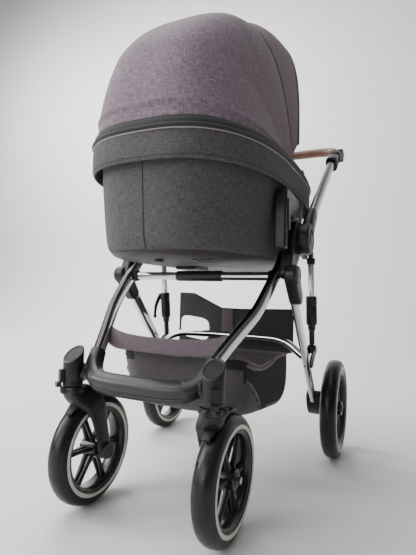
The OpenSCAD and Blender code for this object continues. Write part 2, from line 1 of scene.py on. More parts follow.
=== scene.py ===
# Baby stroller: the detailed, visible pieces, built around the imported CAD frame.
# Lengths in at() are in millimetres, in the CAD source's own numbers: x across, y from the fold
# hinge's line, z up from the ground. Everything else is in metres in the row frame.
import bpy
import math
import numpy as np
from mathutils import Vector, Matrix, noise


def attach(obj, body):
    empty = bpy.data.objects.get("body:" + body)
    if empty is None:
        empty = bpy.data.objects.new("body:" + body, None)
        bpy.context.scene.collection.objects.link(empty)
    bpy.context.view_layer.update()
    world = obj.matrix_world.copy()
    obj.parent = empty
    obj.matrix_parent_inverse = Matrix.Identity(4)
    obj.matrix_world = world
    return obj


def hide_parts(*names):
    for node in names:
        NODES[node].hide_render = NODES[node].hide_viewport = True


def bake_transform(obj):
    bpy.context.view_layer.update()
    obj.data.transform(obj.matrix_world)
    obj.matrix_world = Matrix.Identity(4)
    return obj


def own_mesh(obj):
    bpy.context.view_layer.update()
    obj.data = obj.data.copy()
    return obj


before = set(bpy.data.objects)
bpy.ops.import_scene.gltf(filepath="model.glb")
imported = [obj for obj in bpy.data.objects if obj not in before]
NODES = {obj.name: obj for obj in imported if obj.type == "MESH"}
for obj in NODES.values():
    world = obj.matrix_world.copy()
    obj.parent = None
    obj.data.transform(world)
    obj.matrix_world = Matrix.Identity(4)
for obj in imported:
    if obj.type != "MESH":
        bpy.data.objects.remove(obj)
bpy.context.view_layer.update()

# ---------------------------------------------------------------- driving dimensions, as in part.scad
CENTRE_Y = 159.6        # from the middle of the object to the fold hinge's line
REAR_R = 136.0
FRONT_R = 115.8
REAR_TRACK = 555.0
FRONT_TRACK = 316.0
REAR_AXLE_Y = 300.0
SWIVEL_Y = -286.5
FRONT_HUB_Y = -220.5
TYRE_W = 44.0
HINGE = (40.0, 590.0)
LEG_PIVOT = (-35.0, 501.0)
LEG_FOOT = (284.0, 141.0)
STRUT_TOP = (172.0, 565.0)
STRUT_FOOT = (206.0, 310.0)
TILT = (560.0, 955.0)
HOOD_PIVOT = (150.0, 779.0)
HANDLE_X = 245.0
LEG_X = 224.0
STRUT_X = 230.0
CROSS = (-34.0, 498.0)
BUMPER_Z = 278.0
COT_HALF_W = 222.0
COT_FRONT = -315.0
COT_REAR = 462.0
COT_MID = 60.0
ZIP_Z = 762.0
TRAY_Z = 532.0
GRIP_D = 31.0
KNOB = (-20.0, -190.0)
MID_ANGLE = 61.0
REAR_ANGLE = 92.0
SIDES = (("left", 1), ("right", -1))
X_AXIS = Vector((1, 0, 0))
Y_AXIS = Vector((0, 1, 0))
Z_AXIS = Vector((0, 0, 1))
# The camera's place, its yaw, pitch and roll in degrees and its lens come from a least-squares fit to the
# photo, done in a scratch script. So do the tracks, the wheel sizes and the main pivots above.
CAMERA_AT = Vector((0.4503, -1.0996, 0.4565))
CAMERA_TURN = (25.2224, -2.1658, 1.3731)
LENS = 26.66


def at(x, y, z):
    return Vector((x / 1000.0, (y - CENTRE_Y) / 1000.0, z / 1000.0))


# ---------------------------------------------------------------- shader helpers
def material(name, base, rough, **sockets):
    mat = bpy.data.materials.new(name)
    mat.use_nodes = True
    mat.diffuse_color = (base[0], base[1], base[2], 1)
    shader = mat.node_tree.nodes["Principled BSDF"]
    shader.inputs["Base Color"].default_value = (base[0], base[1], base[2], 1)
    shader.inputs["Roughness"].default_value = rough
    for socket, value in sockets.items():
        shader.inputs[socket.replace("_", " ")].default_value = value
    return mat


def add(mat, kind, **values):
    made = mat.node_tree.nodes.new(kind)
    for key, value in values.items():
        if key.startswith("in_"):
            made.inputs[key[3:].replace("_", " ")].default_value = value
        else:
            setattr(made, key, value)
    return made


def link(mat, out, into):
    mat.node_tree.links.new(out, into)


def principled(mat):
    return mat.node_tree.nodes["Principled BSDF"]


def coords(mat, kind, scale):
    source = add(mat, "ShaderNodeTexCoord")
    mapping = add(mat, "ShaderNodeMapping")
    mapping.inputs["Scale"].default_value = scale
    link(mat, source.outputs[kind], mapping.inputs["Vector"])
    return mapping.outputs["Vector"]


def noise_node(mat, vector, scale, detail=3.0, rough=0.55):
    made = add(mat, "ShaderNodeTexNoise", in_Scale=scale, in_Detail=detail, in_Roughness=rough)
    link(mat, vector, made.inputs["Vector"])
    return made.outputs["Fac"]


def ramp(mat, value, low, high, low_at=0.3, high_at=0.7):
    made = add(mat, "ShaderNodeValToRGB")
    made.color_ramp.elements[0].position = low_at
    made.color_ramp.elements[1].position = high_at
    made.color_ramp.elements[0].color = (low[0], low[1], low[2], 1)
    made.color_ramp.elements[1].color = (high[0], high[1], high[2], 1)
    link(mat, value, made.inputs["Fac"])
    return made.outputs["Color"]


def math_node(mat, op, a, b):
    made = add(mat, "ShaderNodeMath", operation=op)
    for i, value in enumerate((a, b)):
        if hasattr(value, "node"):
            link(mat, value, made.inputs[i])
        else:
            made.inputs[i].default_value = value
    return made.outputs["Value"]


def mix_colour(mat, fac, a, b, blend="MIX"):
    made = add(mat, "ShaderNodeMixRGB", blend_type=blend)
    for name, value in (("Fac", fac), ("Color1", a), ("Color2", b)):
        if hasattr(value, "node"):
            link(mat, value, made.inputs[name])
        elif name == "Fac":
            made.inputs[name].default_value = value
        else:
            made.inputs[name].default_value = (value[0], value[1], value[2], 1)
    return made.outputs["Color"]


def range_node(mat, value, low, high, from_low=0.3, from_high=0.7):
    made = add(mat, "ShaderNodeMapRange")
    made.inputs["From Min"].default_value = from_low
    made.inputs["From Max"].default_value = from_high
    made.inputs["To Min"].default_value = low
    made.inputs["To Max"].default_value = high
    link(mat, value, made.inputs["Value"])
    return made.outputs["Result"]


def bump(mat, height, strength, distance):
    made = add(mat, "ShaderNodeBump", in_Strength=strength, in_Distance=distance)
    link(mat, height, made.inputs["Height"])
    link(mat, made.outputs["Normal"], principled(mat).inputs["Normal"])


def shades(base, low, high):
    return tuple(c * low for c in base), tuple(c * high for c in base)


# ---------------------------------------------------------------- materials
def melange(name, base, warm, contrast=0.55, sheen=0.25):
    """Plain-woven cloth of two-tone yarn: slubs run along both threads of the weave."""
    mat = material(name, base, 0.88, Sheen_Weight=sheen, Sheen_Roughness=0.5)
    warp = noise_node(mat, coords(mat, "UV", (620, 70, 1)), 1.0, 2.0, 0.6)
    weft = noise_node(mat, coords(mat, "UV", (70, 620, 1)), 1.0, 2.0, 0.6)
    blotch = noise_node(mat, coords(mat, "UV", (34, 34, 1)), 1.0, 3.0, 0.6)
    threads = math_node(mat, "MULTIPLY", math_node(mat, "ADD", warp, weft), 0.5)
    dark, light = shades(base, 1 - contrast, 1 + contrast)
    yarn = ramp(mat, threads, dark, light, 0.38, 0.62)
    tone = ramp(mat, blotch, tuple(0.5 * (a + b) for a, b in zip(base, warm)), warm, 0.35, 0.65)
    colour = mix_colour(mat, 0.28, yarn, tone)
    link(mat, colour, principled(mat).inputs["Base Color"])
    across = add(mat, "ShaderNodeTexWave", bands_direction="X", in_Scale=1.0, in_Distortion=0.6)
    along = add(mat, "ShaderNodeTexWave", bands_direction="Y", in_Scale=1.0, in_Distortion=0.6)
    weave = coords(mat, "UV", (260, 260, 1))
    link(mat, weave, across.inputs["Vector"])
    link(mat, weave, along.inputs["Vector"])
    grid = math_node(mat, "MULTIPLY", across.outputs["Fac"], along.outputs["Fac"])
    height = math_node(mat, "ADD", grid, math_node(mat, "MULTIPLY", threads, 1.5))
    bump(mat, height, 0.45, 0.0006)
    link(mat, range_node(mat, threads, 0.8, 0.95), principled(mat).inputs["Roughness"])
    return mat


def moulded(name, base, rough, grain=900.0, depth=0.00012, wear=0.35, **sockets):
    """Moulded plastic: a fine pebble grain, faint handling marks and edges rubbed a little paler."""
    mat = material(name, base, rough, **sockets)
    place = coords(mat, "Object", (1, 1, 1))
    pebble = noise_node(mat, place, grain, 2.0, 0.5)
    marks = noise_node(mat, place, 14.0, 4.0, 0.6)
    edge = range_node(mat, add(mat, "ShaderNodeNewGeometry").outputs["Pointiness"], 0, 1, 0.52, 0.58)
    dark, light = shades(base, 0.85, 1.15)
    tone = ramp(mat, marks, dark, light, 0.35, 0.65)
    rubbed = tuple(min(1, c * 1.6 + 0.012) for c in base)
    colour = mix_colour(mat, math_node(mat, "MULTIPLY", edge, wear), tone, rubbed)
    link(mat, colour, principled(mat).inputs["Base Color"])
    link(mat, range_node(mat, marks, rough - 0.06, rough + 0.08), principled(mat).inputs["Roughness"])
    bump(mat, pebble, 0.3, depth)
    return mat


def polished(name, base, rough):
    """Plated tube: bright, with hairline polishing marks and faint smears."""
    mat = material(name, base, rough, Metallic=1.0)
    hair = noise_node(mat, coords(mat, "Object", (40, 900, 900)), 1.0, 2.0, 0.5)
    smear = noise_node(mat, coords(mat, "Object", (1, 1, 1)), 22.0, 4.0, 0.65)
    dark, light = shades(base, 0.93, 1.04)
    link(mat, ramp(mat, smear, dark, light), principled(mat).inputs["Base Color"])
    value = math_node(mat, "ADD", range_node(mat, smear, rough * 0.6, rough * 1.5),
                      math_node(mat, "MULTIPLY", hair, rough * 0.3))
    link(mat, value, principled(mat).inputs["Roughness"])
    bump(mat, hair, 0.04, 0.00002)
    return mat


def leather(name, base):
    mat = material(name, base, 0.42, Coat_Weight=0.15, Coat_Roughness=0.3)
    place = coords(mat, "Object", (1, 1, 1))
    pores = add(mat, "ShaderNodeTexVoronoi", in_Scale=520.0, feature="DISTANCE_TO_EDGE")
    link(mat, place, pores.inputs["Vector"])
    patch = noise_node(mat, place, 36.0, 4.0, 0.6)
    dark, light = shades(base, 0.6, 1.45)
    link(mat, ramp(mat, patch, dark, light, 0.3, 0.7), principled(mat).inputs["Base Color"])
    link(mat, range_node(mat, patch, 0.36, 0.55), principled(mat).inputs["Roughness"])
    height = math_node(mat, "ADD", pores.outputs["Distance"], math_node(mat, "MULTIPLY", patch, 0.4))
    bump(mat, height, 0.35, 0.0004)
    return mat


def rubber(name, base):
    mat = material(name, base, 0.3, Specular_IOR_Level=0.35)
    place = coords(mat, "Object", (1, 1, 1))
    scuff = noise_node(mat, place, 55.0, 5.0, 0.65)
    dust = noise_node(mat, place, 9.0, 4.0, 0.6)
    link(mat, ramp(mat, dust, base, tuple(c * 1.9 + 0.004 for c in base), 0.4, 0.75),
         principled(mat).inputs["Base Color"])
    link(mat, range_node(mat, scuff, 0.22, 0.46), principled(mat).inputs["Roughness"])
    bump(mat, noise_node(mat, place, 700.0, 2.0), 0.15, 0.0001)
    return mat


def ribbed(name, base, pitch):
    """Zip tape and woven binding: ribs across the tape."""
    mat = material(name, base, 0.8, Sheen_Weight=0.15)
    teeth = add(mat, "ShaderNodeTexWave", bands_direction="X", in_Scale=1.0)
    link(mat, coords(mat, "UV", (pitch, pitch, 1)), teeth.inputs["Vector"])
    dark, light = shades(base, 0.6, 1.6)
    link(mat, ramp(mat, teeth.outputs["Fac"], dark, light, 0.2, 0.8), principled(mat).inputs["Base Color"])
    bump(mat, teeth.outputs["Fac"], 0.5, 0.0005)
    return mat


def net(name, base):
    """Coarse black pocket mesh: a square net whose holes show as darker dots."""
    mat = material(name, base, 0.8, Sheen_Weight=0.05, Specular_IOR_Level=0.2)
    cells = coords(mat, "UV", (330, 330, 1))
    across = add(mat, "ShaderNodeTexWave", bands_direction="X", in_Scale=1.0)
    along = add(mat, "ShaderNodeTexWave", bands_direction="Y", in_Scale=1.0)
    link(mat, cells, across.inputs["Vector"])
    link(mat, cells, along.inputs["Vector"])
    grid = math_node(mat, "MAXIMUM", across.outputs["Fac"], along.outputs["Fac"])
    dark, light = shades(base, 0.45, 1.5)
    link(mat, ramp(mat, grid, dark, light, 0.3, 0.8), principled(mat).inputs["Base Color"])
    bump(mat, grid, 0.6, 0.0006)
    return mat


def plain_floor():
    mat = material("studio_floor", (0.8, 0.795, 0.785), 0.62)
    soft = noise_node(mat, coords(mat, "Object", (1, 1, 1)), 2.2, 3.0)
    link(mat, ramp(mat, soft, (0.79, 0.785, 0.775), (0.81, 0.805, 0.795)),
         principled(mat).inputs["Base Color"])
    bump(mat, noise_node(mat, coords(mat, "Object", (1, 1, 1)), 160.0, 2.0), 0.04, 0.0003)
    return mat


MAUVE = (0.178, 0.132, 0.168)
GREY = (0.060, 0.056, 0.063)
HOOD = melange("hood_melange", MAUVE, (0.195, 0.14, 0.18), 0.72, 0.1)
COT = melange("cot_melange", GREY, (0.078, 0.066, 0.077), 0.8, 0.08)
BASKET = melange("basket_melange", (0.062, 0.054, 0.062), (0.072, 0.056, 0.068), 0.4)
STRAP = melange("strap_melange", (0.105, 0.078, 0.096), (0.12, 0.086, 0.108), 0.35, 0.35)
LINER = melange("lining_weave", (0.03, 0.03, 0.032), (0.035, 0.033, 0.036), 0.3)
BED = melange("mattress_knit", (0.72, 0.71, 0.68), (0.75, 0.73, 0.69), 0.06)
PIPING = melange("mauve_piping", (0.3, 0.25, 0.29), (0.32, 0.26, 0.3), 0.2)
NET = net("pocket_net", (0.018, 0.018, 0.02))
ZIP = ribbed("zip_teeth", (0.014, 0.014, 0.016), 900)
TAPE = ribbed("zip_tape_weave", (0.019, 0.02, 0.022), 1400)
BLACK = moulded("black_grained", (0.009, 0.009, 0.01), 0.38, Specular_IOR_Level=0.35)
SATIN = moulded("soft_touch_black", (0.014, 0.015, 0.0165), 0.38, 1300.0, 0.00006, 0.2)
GLOSS = moulded("gloss_black", (0.012, 0.012, 0.0135), 0.24, 400.0, 0.00003, 0.25)
SLATE = moulded("slate_plastic", (0.032, 0.032, 0.035), 0.5)
TRAY = moulded("tray_grained", (0.032, 0.028, 0.025), 0.55, 600.0, 0.0002, 0.1)
CHROME = polished("chrome_tube", (0.7, 0.7, 0.71), 0.085)
DARK_CHROME = polished("dark_chrome_tube", (0.3, 0.3, 0.31), 0.13)
INLAY = polished("dark_inlay", (0.075, 0.075, 0.08), 0.17)
STEEL = polished("satin_steel", (0.6, 0.6, 0.61), 0.28)
BROWN = leather("brown_leather", (0.125, 0.054, 0.033))
THREAD = moulded("stitch_thread", (0.33, 0.2, 0.13), 0.8, 2500.0, 0.00005)
DARK_THREAD = moulded("dark_thread", (0.02, 0.019, 0.021), 0.85, 2500.0, 0.00005)
TYRE = rubber("black_rubber", (0.006, 0.006, 0.0065))
CREAM = moulded("cream_ring", (0.62, 0.61, 0.55), 0.42, 300.0, 0.00004, 0.0)


# ---------------------------------------------------------------- mesh helpers
def piece(name, verts, faces, mat, body=None, uvs=None, sharp=38.0, slot="black_plastic"):
    mesh = bpy.data.meshes.new(name)
    mesh.from_pydata([tuple(v) for v in verts], [], faces)
    if uvs is not None:
        layer = mesh.uv_layers.new(name="weave")
        flat = [c for corner in uvs for c in corner]
        layer.data.foreach_set("uv", flat)
    mesh.validate()
    mesh.polygons.foreach_set("use_smooth", [True] * len(mesh.polygons))
    mesh.set_sharp_from_angle(angle=math.radians(sharp))
    mesh.materials.append(mat)
    made = bpy.data.objects.new(name, mesh)
    bpy.context.scene.collection.objects.link(made)
    if body:
        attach(made, body)
    return made


def grid_faces(rows, cols, wrap_cols=False, wrap_rows=False):
    faces = []
    for i in range(rows if wrap_rows else rows - 1):
        for j in range(cols if wrap_cols else cols - 1):
            a = i * cols + j
            b = i * cols + (j + 1) % cols
            c = ((i + 1) % rows) * cols + (j + 1) % cols
            d = ((i + 1) % rows) * cols + j
            faces.append((a, b, c, d))
    return faces


def grid_uvs(rings, wrap_cols=False, wrap_rows=False):
    """Corner coordinates in metres, so that a weave keeps its scale."""
    rows = len(rings)
    cols = len(rings[0])
    along = [0.0]
    for i in range(1, rows + 1):
        step = sum((Vector(rings[i % rows][j]) - Vector(rings[i - 1][j])).length for j in range(cols)) / cols
        along.append(along[-1] + step)
    mid = rings[rows // 2]
    across = [0.0]
    for j in range(1, cols + 1):
        across.append(across[-1] + (Vector(mid[j % cols]) - Vector(mid[j - 1])).length)
    out = []
    for i in range(rows if wrap_rows else rows - 1):
        for j in range(cols if wrap_cols else cols - 1):
            out += [(across[j], along[i]), (across[j + 1], along[i]),
                    (across[j + 1], along[i + 1]), (across[j], along[i + 1])]
    return out


def lofted(name, rings, mat, body=None, closed=True, caps=False, joined=False, **more):
    """A skin over rings of points; closed rings wrap, caps close the ends, joined makes a torus."""
    rows = len(rings)
    cols = len(rings[0])
    verts = [p for ring in rings for p in ring]
    faces = grid_faces(rows, cols, closed, joined)
    uvs = grid_uvs(rings, closed, joined)
    if caps:
        for ring, flip in ((0, True), (rows - 1, False)):
            face = [ring * cols + j for j in range(cols)]
            faces.append(tuple(reversed(face)) if flip else tuple(face))
            centre = sum((Vector(p) for p in rings[ring]), Vector()) / cols
            uvs += [(0.3 * (Vector(verts[k]) - centre).length, 0.0) for k in faces[-1]]
    return piece(name, verts, faces, mat, body, uvs, **more)


def spline(points, steps):
    out = []
    n = len(points)
    for i in range(n - 1):
        a, b = points[max(i - 1, 0)], points[i]
        c, d = points[i + 1], points[min(i + 2, n - 1)]
        for k in range(steps):
            t = k / steps
            out.append(0.5 * (2 * b + (c - a) * t + (2 * a - 5 * b + 4 * c - d) * t * t
                              + (3 * b - a - 3 * c + d) * t ** 3))
    out.append(points[-1])
    return out


def even(points, count, closed=False):
    """The same line with count points spaced evenly along it."""
    line = list(points) + ([points[0]] if closed else [])
    arc = np.concatenate([[0], np.cumsum([(line[i + 1] - line[i]).length for i in range(len(line) - 1)])])
    targets = np.linspace(0, arc[-1], count + 1 if closed else count)
    if closed:
        targets = targets[:-1]
    arr = np.array([tuple(p) for p in line])
    cols = [np.interp(targets, arc, arr[:, k]) for k in range(3)]
    return [Vector(p) for p in zip(*cols)]


def frame_at(path, i, side):
    t = (path[min(i + 1, len(path) - 1)] - path[max(i - 1, 0)]).normalized()
    u = (side - side.dot(t) * t).normalized()
    return t, u, t.cross(u)


def section(n, w, d, power=2.0):
    """A rounded outline, w by d; power 2 is an ellipse, more is boxier."""
    out = []
    for j in range(n):
        a = 2 * math.pi * j / n
        c, s = math.cos(a), math.sin(a)
        out.append((0.5 * w * math.copysign(abs(c) ** (2 / power), c),
                    0.5 * d * math.copysign(abs(s) ** (2 / power), s)))
    return out


def swept(name, path, outline, side, mat, body, scale=None, caps=True, **more):
    rings = []
    for i, p in enumerate(path):
        _, u, v = frame_at(path, i, side)
        k = scale(i / (len(path) - 1)) if scale else 1.0
        rings.append([p + u * (a * k / 1000) + v * (b * k / 1000) for a, b in outline])
    return lofted(name, rings, mat, body, caps=caps, **more)


def between(stations, t):
    """The sizes at t, counted in stations along a path."""
    k = min(int(t), len(stations) - 2)
    return [a + (b - a) * (t - k) for a, b in zip(stations[k], stations[k + 1])]


def bevelled(made, width, segments=3, angle=35.0):
    mod = made.modifiers.new("bevel", "BEVEL")
    mod.width = width / 1000.0
    mod.segments = segments
    mod.limit_method = "ANGLE"
    mod.angle_limit = math.radians(angle)
    mod.harden_normals = False
    return made


def subdivided(made, levels=1):
    mod = made.modifiers.new("smooth", "SUBSURF")
    mod.levels = levels
    mod.render_levels = levels


def rounded_path(corners, radius, steps=5):
    """A closed outline in a plane, with each corner (u, v) or (u, v, own radius) rounded."""
    out = []
    n = len(corners)
    for i in range(n):
        p = Vector(corners[i][:2])
        r = corners[i][2] if len(corners[i]) > 2 else radius
        before = Vector(corners[i - 1][:2]) - p
        after = Vector(corners[(i + 1) % n][:2]) - p
        cut = min(r, 0.49 * before.length, 0.49 * after.length)
        a = p + before.normalized() * cut
        b = p + after.normalized() * cut
        for k in range(steps + 1):
            t = k / steps
            out.append(a * (1 - t) ** 2 + p * 2 * t * (1 - t) + b * t * t)
    return out


def prism_faces(n):
    """Two end faces of n corners each and the walls between them."""
    faces = [tuple(reversed(range(n))), tuple(range(n, 2 * n))]
    return faces + [(j, (j + 1) % n, n + (j + 1) % n, n + j) for j in range(n)]


def plate(name, outline, x0, x1, mat, body, bevel=1.5, **more):
    """A flat piece cut from an outline of (y, z) in millimetres, from x0 to x1, with eased edges."""
    verts = [at(x0, p[0], p[1]) for p in outline] + [at(x1, p[0], p[1]) for p in outline]
    faces = prism_faces(len(outline))
    if x1 < x0:
        faces = [tuple(reversed(f)) for f in faces]
    made = piece(name, verts, faces, mat, body, **more)
    return bevelled(made, bevel, 3, 50.0)


def capsule(a, b, ra, rb, steps=14):
    """The outline round two circles, as (y, z) points."""
    ax, ay = a
    bx, by = b
    heading = math.atan2(by - ay, bx - ax)
    length = math.hypot(bx - ax, by - ay)
    lean = math.asin(max(-1, min(1, (ra - rb) / length)))
    out = []
    for k in range(steps + 1):
        t = heading + math.pi / 2 - lean + (math.pi + 2 * lean) * k / steps
        out.append((ax + ra * math.cos(t), ay + ra * math.sin(t)))
    for k in range(steps + 1):
        t = heading - math.pi / 2 + lean + (math.pi - 2 * lean) * k / steps
        out.append((bx + rb * math.cos(t), by + rb * math.sin(t)))
    return out


def turned(name, profile, centre, axis, mat, body, n=48, start=None, **more):
    """A turned piece: profile of (distance along the axis, radius) in millimetres about a centre."""
    axis = Vector(axis).normalized()
    u = axis.orthogonal().normalized()
    v = axis.cross(u)
    rings = []
    for along, radius in profile:
        ring = []
        for j in range(n):
            a = 2 * math.pi * j / n
            ring.append(centre + axis * (along / 1000) + (u * math.cos(a) + v * math.sin(a)) * (radius / 1000))
        rings.append(ring)
    return lofted(name, rings, mat, body, caps=True, **more)


def finish_node(name, mat, sharp=32.0, bevel=0.0):
    """A CAD node whose shape is right keeps its mesh and gets its finish."""
    node = NODES[name]
    node.data.materials.clear()
    node.data.materials.append(mat)
    node.data.polygons.foreach_set("use_smooth", [True] * len(node.data.polygons))
    node.data.set_sharp_from_angle(angle=math.radians(sharp))
    if bevel:
        bevelled(node, bevel, 2, 40.0)


def thickened(made, thickness):
    """Gives a sheet of cloth its thickness, in metres."""
    mod = made.modifiers.new("cloth", "SOLIDIFY")
    mod.thickness = thickness
    return mod


# ---------------------------------------------------------------- camera, floor and light
def make_camera():
    yaw, pitch, roll = (math.radians(a) for a in CAMERA_TURN)
    forward = Vector((-math.sin(yaw) * math.cos(pitch), math.cos(yaw) * math.cos(pitch), -math.sin(pitch)))
    right = Vector((math.cos(yaw), math.sin(yaw), 0))
    up = right.cross(forward)
    x_axis = right * math.cos(roll) + up * math.sin(roll)
    y_axis = up * math.cos(roll) - right * math.sin(roll)
    data = bpy.data.cameras.new("camera")
    data.sensor_width = 36.0
    data.sensor_fit = "AUTO"
    data.lens = LENS
    data.clip_end = 40.0
    camera = bpy.data.objects.new("camera", data)
    turn = Matrix((x_axis, y_axis, -forward)).transposed().to_4x4()
    camera.matrix_world = Matrix.Translation(CAMERA_AT) @ turn
    bpy.context.scene.collection.objects.link(camera)
    bpy.context.scene.camera = camera


def make_stage():
    """A paper sweep: flat under the stroller and rising in one curve behind it."""
    rings = []
    for x in np.linspace(-6.0, 6.0, 13):
        line = [Vector((x, -5.0, 0.0)), Vector((x, 1.7, 0.0))]
        for k in range(1, 13):
            a = math.radians(90 * k / 12)
            line.append(Vector((x, 1.7 + 1.1 * math.sin(a), 1.1 * (1 - math.cos(a)))))
        line.append(Vector((x, 2.8, 5.5)))
        rings.append(line)
    sweep = lofted("studio_sweep", rings, plain_floor(), closed=False, sharp=60, slot=None)


def area_light(name, place, target, size, power, colour=(1, 1, 1)):
    data = bpy.data.lights.new(name, "AREA")
    data.shape = "RECTANGLE"
    data.size = size[0]
    data.size_y = size[1]
    data.energy = power
    data.color = colour
    lamp = bpy.data.objects.new(name, data)
    lamp.location = place
    lamp.rotation_euler = (Vector(target) - Vector(place)).to_track_quat("-Z", "Y").to_euler()
    bpy.context.scene.collection.objects.link(lamp)


def make_light():
    world = bpy.data.worlds.new("studio")
    world.use_nodes = True
    bpy.context.scene.world = world
    tree = world.node_tree
    place = tree.nodes.new("ShaderNodeTexCoord")
    split = tree.nodes.new("ShaderNodeSeparateXYZ")
    shade = tree.nodes.new("ShaderNodeValToRGB")
    stops = ((0.0, 0.5), (0.48, 0.62), (0.56, 0.30), (0.72, 0.16), (0.9, 0.5), (1.0, 0.75))
    shade.color_ramp.elements[0].position = 0.0
    shade.color_ramp.elements[1].position = 1.0
    for position, _ in stops[1:-1]:
        shade.color_ramp.elements.new(position)
    for element, (position, value) in zip(shade.color_ramp.elements, stops):
        element.position = position
        element.color = (value, value * 0.995, value * 0.98, 1)
    remap = tree.nodes.new("ShaderNodeMapRange")
    remap.inputs["From Min"].default_value = -1.0
    remap.inputs["From Max"].default_value = 1.0
    back = tree.nodes["Background"]
    back.inputs["Strength"].default_value = 0.46
    tree.links.new(place.outputs["Generated"], split.inputs["Vector"])
    tree.links.new(split.outputs["Z"], remap.inputs["Value"])
    tree.links.new(remap.outputs["Result"], shade.inputs["Fac"])
    tree.links.new(shade.outputs["Color"], back.inputs["Color"])
    area_light("top_soft", (-1.0, -0.3, 3.2), (0, 0.1, 0.4), (3.0, 3.0), 105, (1, 0.99, 0.97))
    area_light("left_soft", (-2.9, -1.9, 2.1), (0, 0, 0.6), (1.7, 2.0), 120, (1, 0.99, 0.97))
    area_light("front_fill", (-0.9, -3.5, 1.5), (0, 0, 0.6), (2.0, 1.6), 55, (0.97, 0.98, 1))
    area_light("back_wash", (-2.7, 1.0, 3.1), (-2.7, 2.9, 1.3), (3.4, 1.0), 150, (1, 0.99, 0.97))


# ---------------------------------------------------------------- wheels
def about_axle(centre, x, radius, a):
    """A point x along a wheel's axle and radius from it, at an angle about it."""
    return centre + Vector((x, radius * math.cos(a), radius * math.sin(a))) / 1000


def wheel_rings(centre, profile, count):
    """The profile of (x, radius) repeated round a wheel's axle."""
    rings = []
    for k in range(count):
        a = 2 * math.pi * k / count
        rings.append([about_axle(centre, x, radius, a) for x, radius in profile])
    return rings


def tyre_profile(r, w):
    """(x, radius) round the tyre: rounded tread, a shoulder, a side wall with a seat for the ring."""
    half = w / 2
    side = [(0.0, r), (0.36 * half, r - 1.0), (0.66 * half, r - 4.2), (0.86 * half, r - 9.5),
            (0.97 * half, r - 17.0), (half, r - 23.0), (half - 0.6, r - 26.5), (half - 4.0, r - 29.4)]
    return [(-x, z) for x, z in reversed(side[1:])] + side


def groove_depth(x, angle, half):
    """Curved tread grooves: arcs that sweep from one shoulder to the other, eight to the turn."""
    lean = 0.34 * math.sin(x / half * 1.5)
    step = math.pi / 4
    phase = (angle + lean + (0.5 * step if x > 0 else 0)) % step
    off = min(phase, step - phase)
    reach = 0.25 < abs(x) / half < 0.95
    return 1.1 * math.exp(-((off / 0.014) ** 2)) if reach else 0.0


def make_tyre(sign, where, r, body):
    centre = at(*where)
    rings = []
    profile = tyre_profile(r, TYRE_W)
    dense = even([Vector((x, z, 0)) for x, z in profile], 34)
    count = 256
    for k in range(count):
        a = 2 * math.pi * k / count
        ring = [about_axle(centre, p.x, p.y - groove_depth(p.x, a, TYRE_W / 2), a) for p in dense]
        seats = [about_axle(centre, x, r - 27, a) for x in (-17, 17)]
        rings.append([seats[0]] + ring + [seats[1]])
    name = body.replace("wheel", "tyre")
    made = lofted(name + "_moulded", rings, TYRE, body, joined=True, sharp=50, slot="tyre")
    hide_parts(name)
    for face in (1, -1):
        ring_w = [(0.0, r - 19.0), (1.1, r - 19.6), (1.4, r - 23.0), (1.1, r - 26.2), (0.0, r - 26.9)]
        band = [(face * (TYRE_W / 2 - 0.9 + a * 0.9), z) for a, z in ring_w]
        tag = "out" if face * sign > 0 else "in"
        lofted(f"{body}_ring_{tag}", wheel_rings(centre, band, 128), CREAM, body, closed=False, joined=True,
               slot="tyre")


def spoke(name, centre, angle, inner, outer, half_w, x_mid, thick, body):
    """One flared spoke: it leaves the hub narrow, widens at the rim and dishes outwards a little."""
    along = Vector((0, math.cos(angle), math.sin(angle)))
    cross = Vector((0, -math.sin(angle), math.cos(angle)))
    rings = []
    steps = 9
    for k in range(steps):
        t = k / (steps - 1)
        rad = inner + (outer - inner) * t
        w = half_w * (1.0 - 0.28 * math.sin(math.pi * t) + 0.35 * t ** 3)
        d = thick * (1.15 - 0.45 * t)
        x = x_mid * (1 - t) + x_mid * 0.5 * t
        ring = []
        for u, v in section(16, 2 * w, 2 * d, 4.0):
            ring.append(centre + (along * rad + cross * u + Vector((x + v, 0, 0))) / 1000)
        rings.append(ring)
    return lofted(name, rings, BLACK, body, caps=True, sharp=40, slot="rim_plastic")


def make_rim(sign, where, r, body):
    centre = at(*where)
    rim_r = r - 27.5
    half = TYRE_W / 2
    flange = [(half - 9, rim_r - 10), (half - 4.4, rim_r - 7.5), (half - 2.4, rim_r - 3), (half - 3.2, rim_r)]
    mirrored = [(-x, z) for x, z in reversed(flange)]
    profile = mirrored + [(0, rim_r - 11.5)] + flange + [(0, rim_r + 1)]
    name = body.replace("wheel", "rim")
    barrel = lofted(name + "_barrel", wheel_rings(centre, profile, 96), GLOSS, body, joined=True, sharp=55,
                    slot="rim_plastic")
    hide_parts(name)
    for k in range(6):
        angle = 2 * math.pi * k / 6 - 0.09
        spoke(f"{name}_spoke_{k}", centre, angle, 13, rim_r - 8, 5.8, sign * 8.0, 5.0, body)
        spoke(f"{name}_rear_spoke_{k}", centre, angle, 13, rim_r - 8, 5.2, -sign * 8.0, 4.0, body)
    hub = [(-21.5, 17), (-20.5, 18.5), (-12, 19.4), (12, 19.4), (19.4, 18.6), (20.6, 17.2), (20.8, 13.5),
           (22.2, 12.6), (22.6, 10.5), (22.8, 0.2)]
    turned(name + "_hub", hub, centre, (sign, 0, 0), GLOSS, body, 40, sharp=30, slot="rim_plastic")
    cap = [(21.5, 10.2), (23.2, 9.6), (23.6, 7.0), (23.0, 6.2), (23.0, 0.2)]
    turned(name + "_cap", cap, centre, (sign, 0, 0), BLACK, body, 32, sharp=30, slot="rim_plastic")


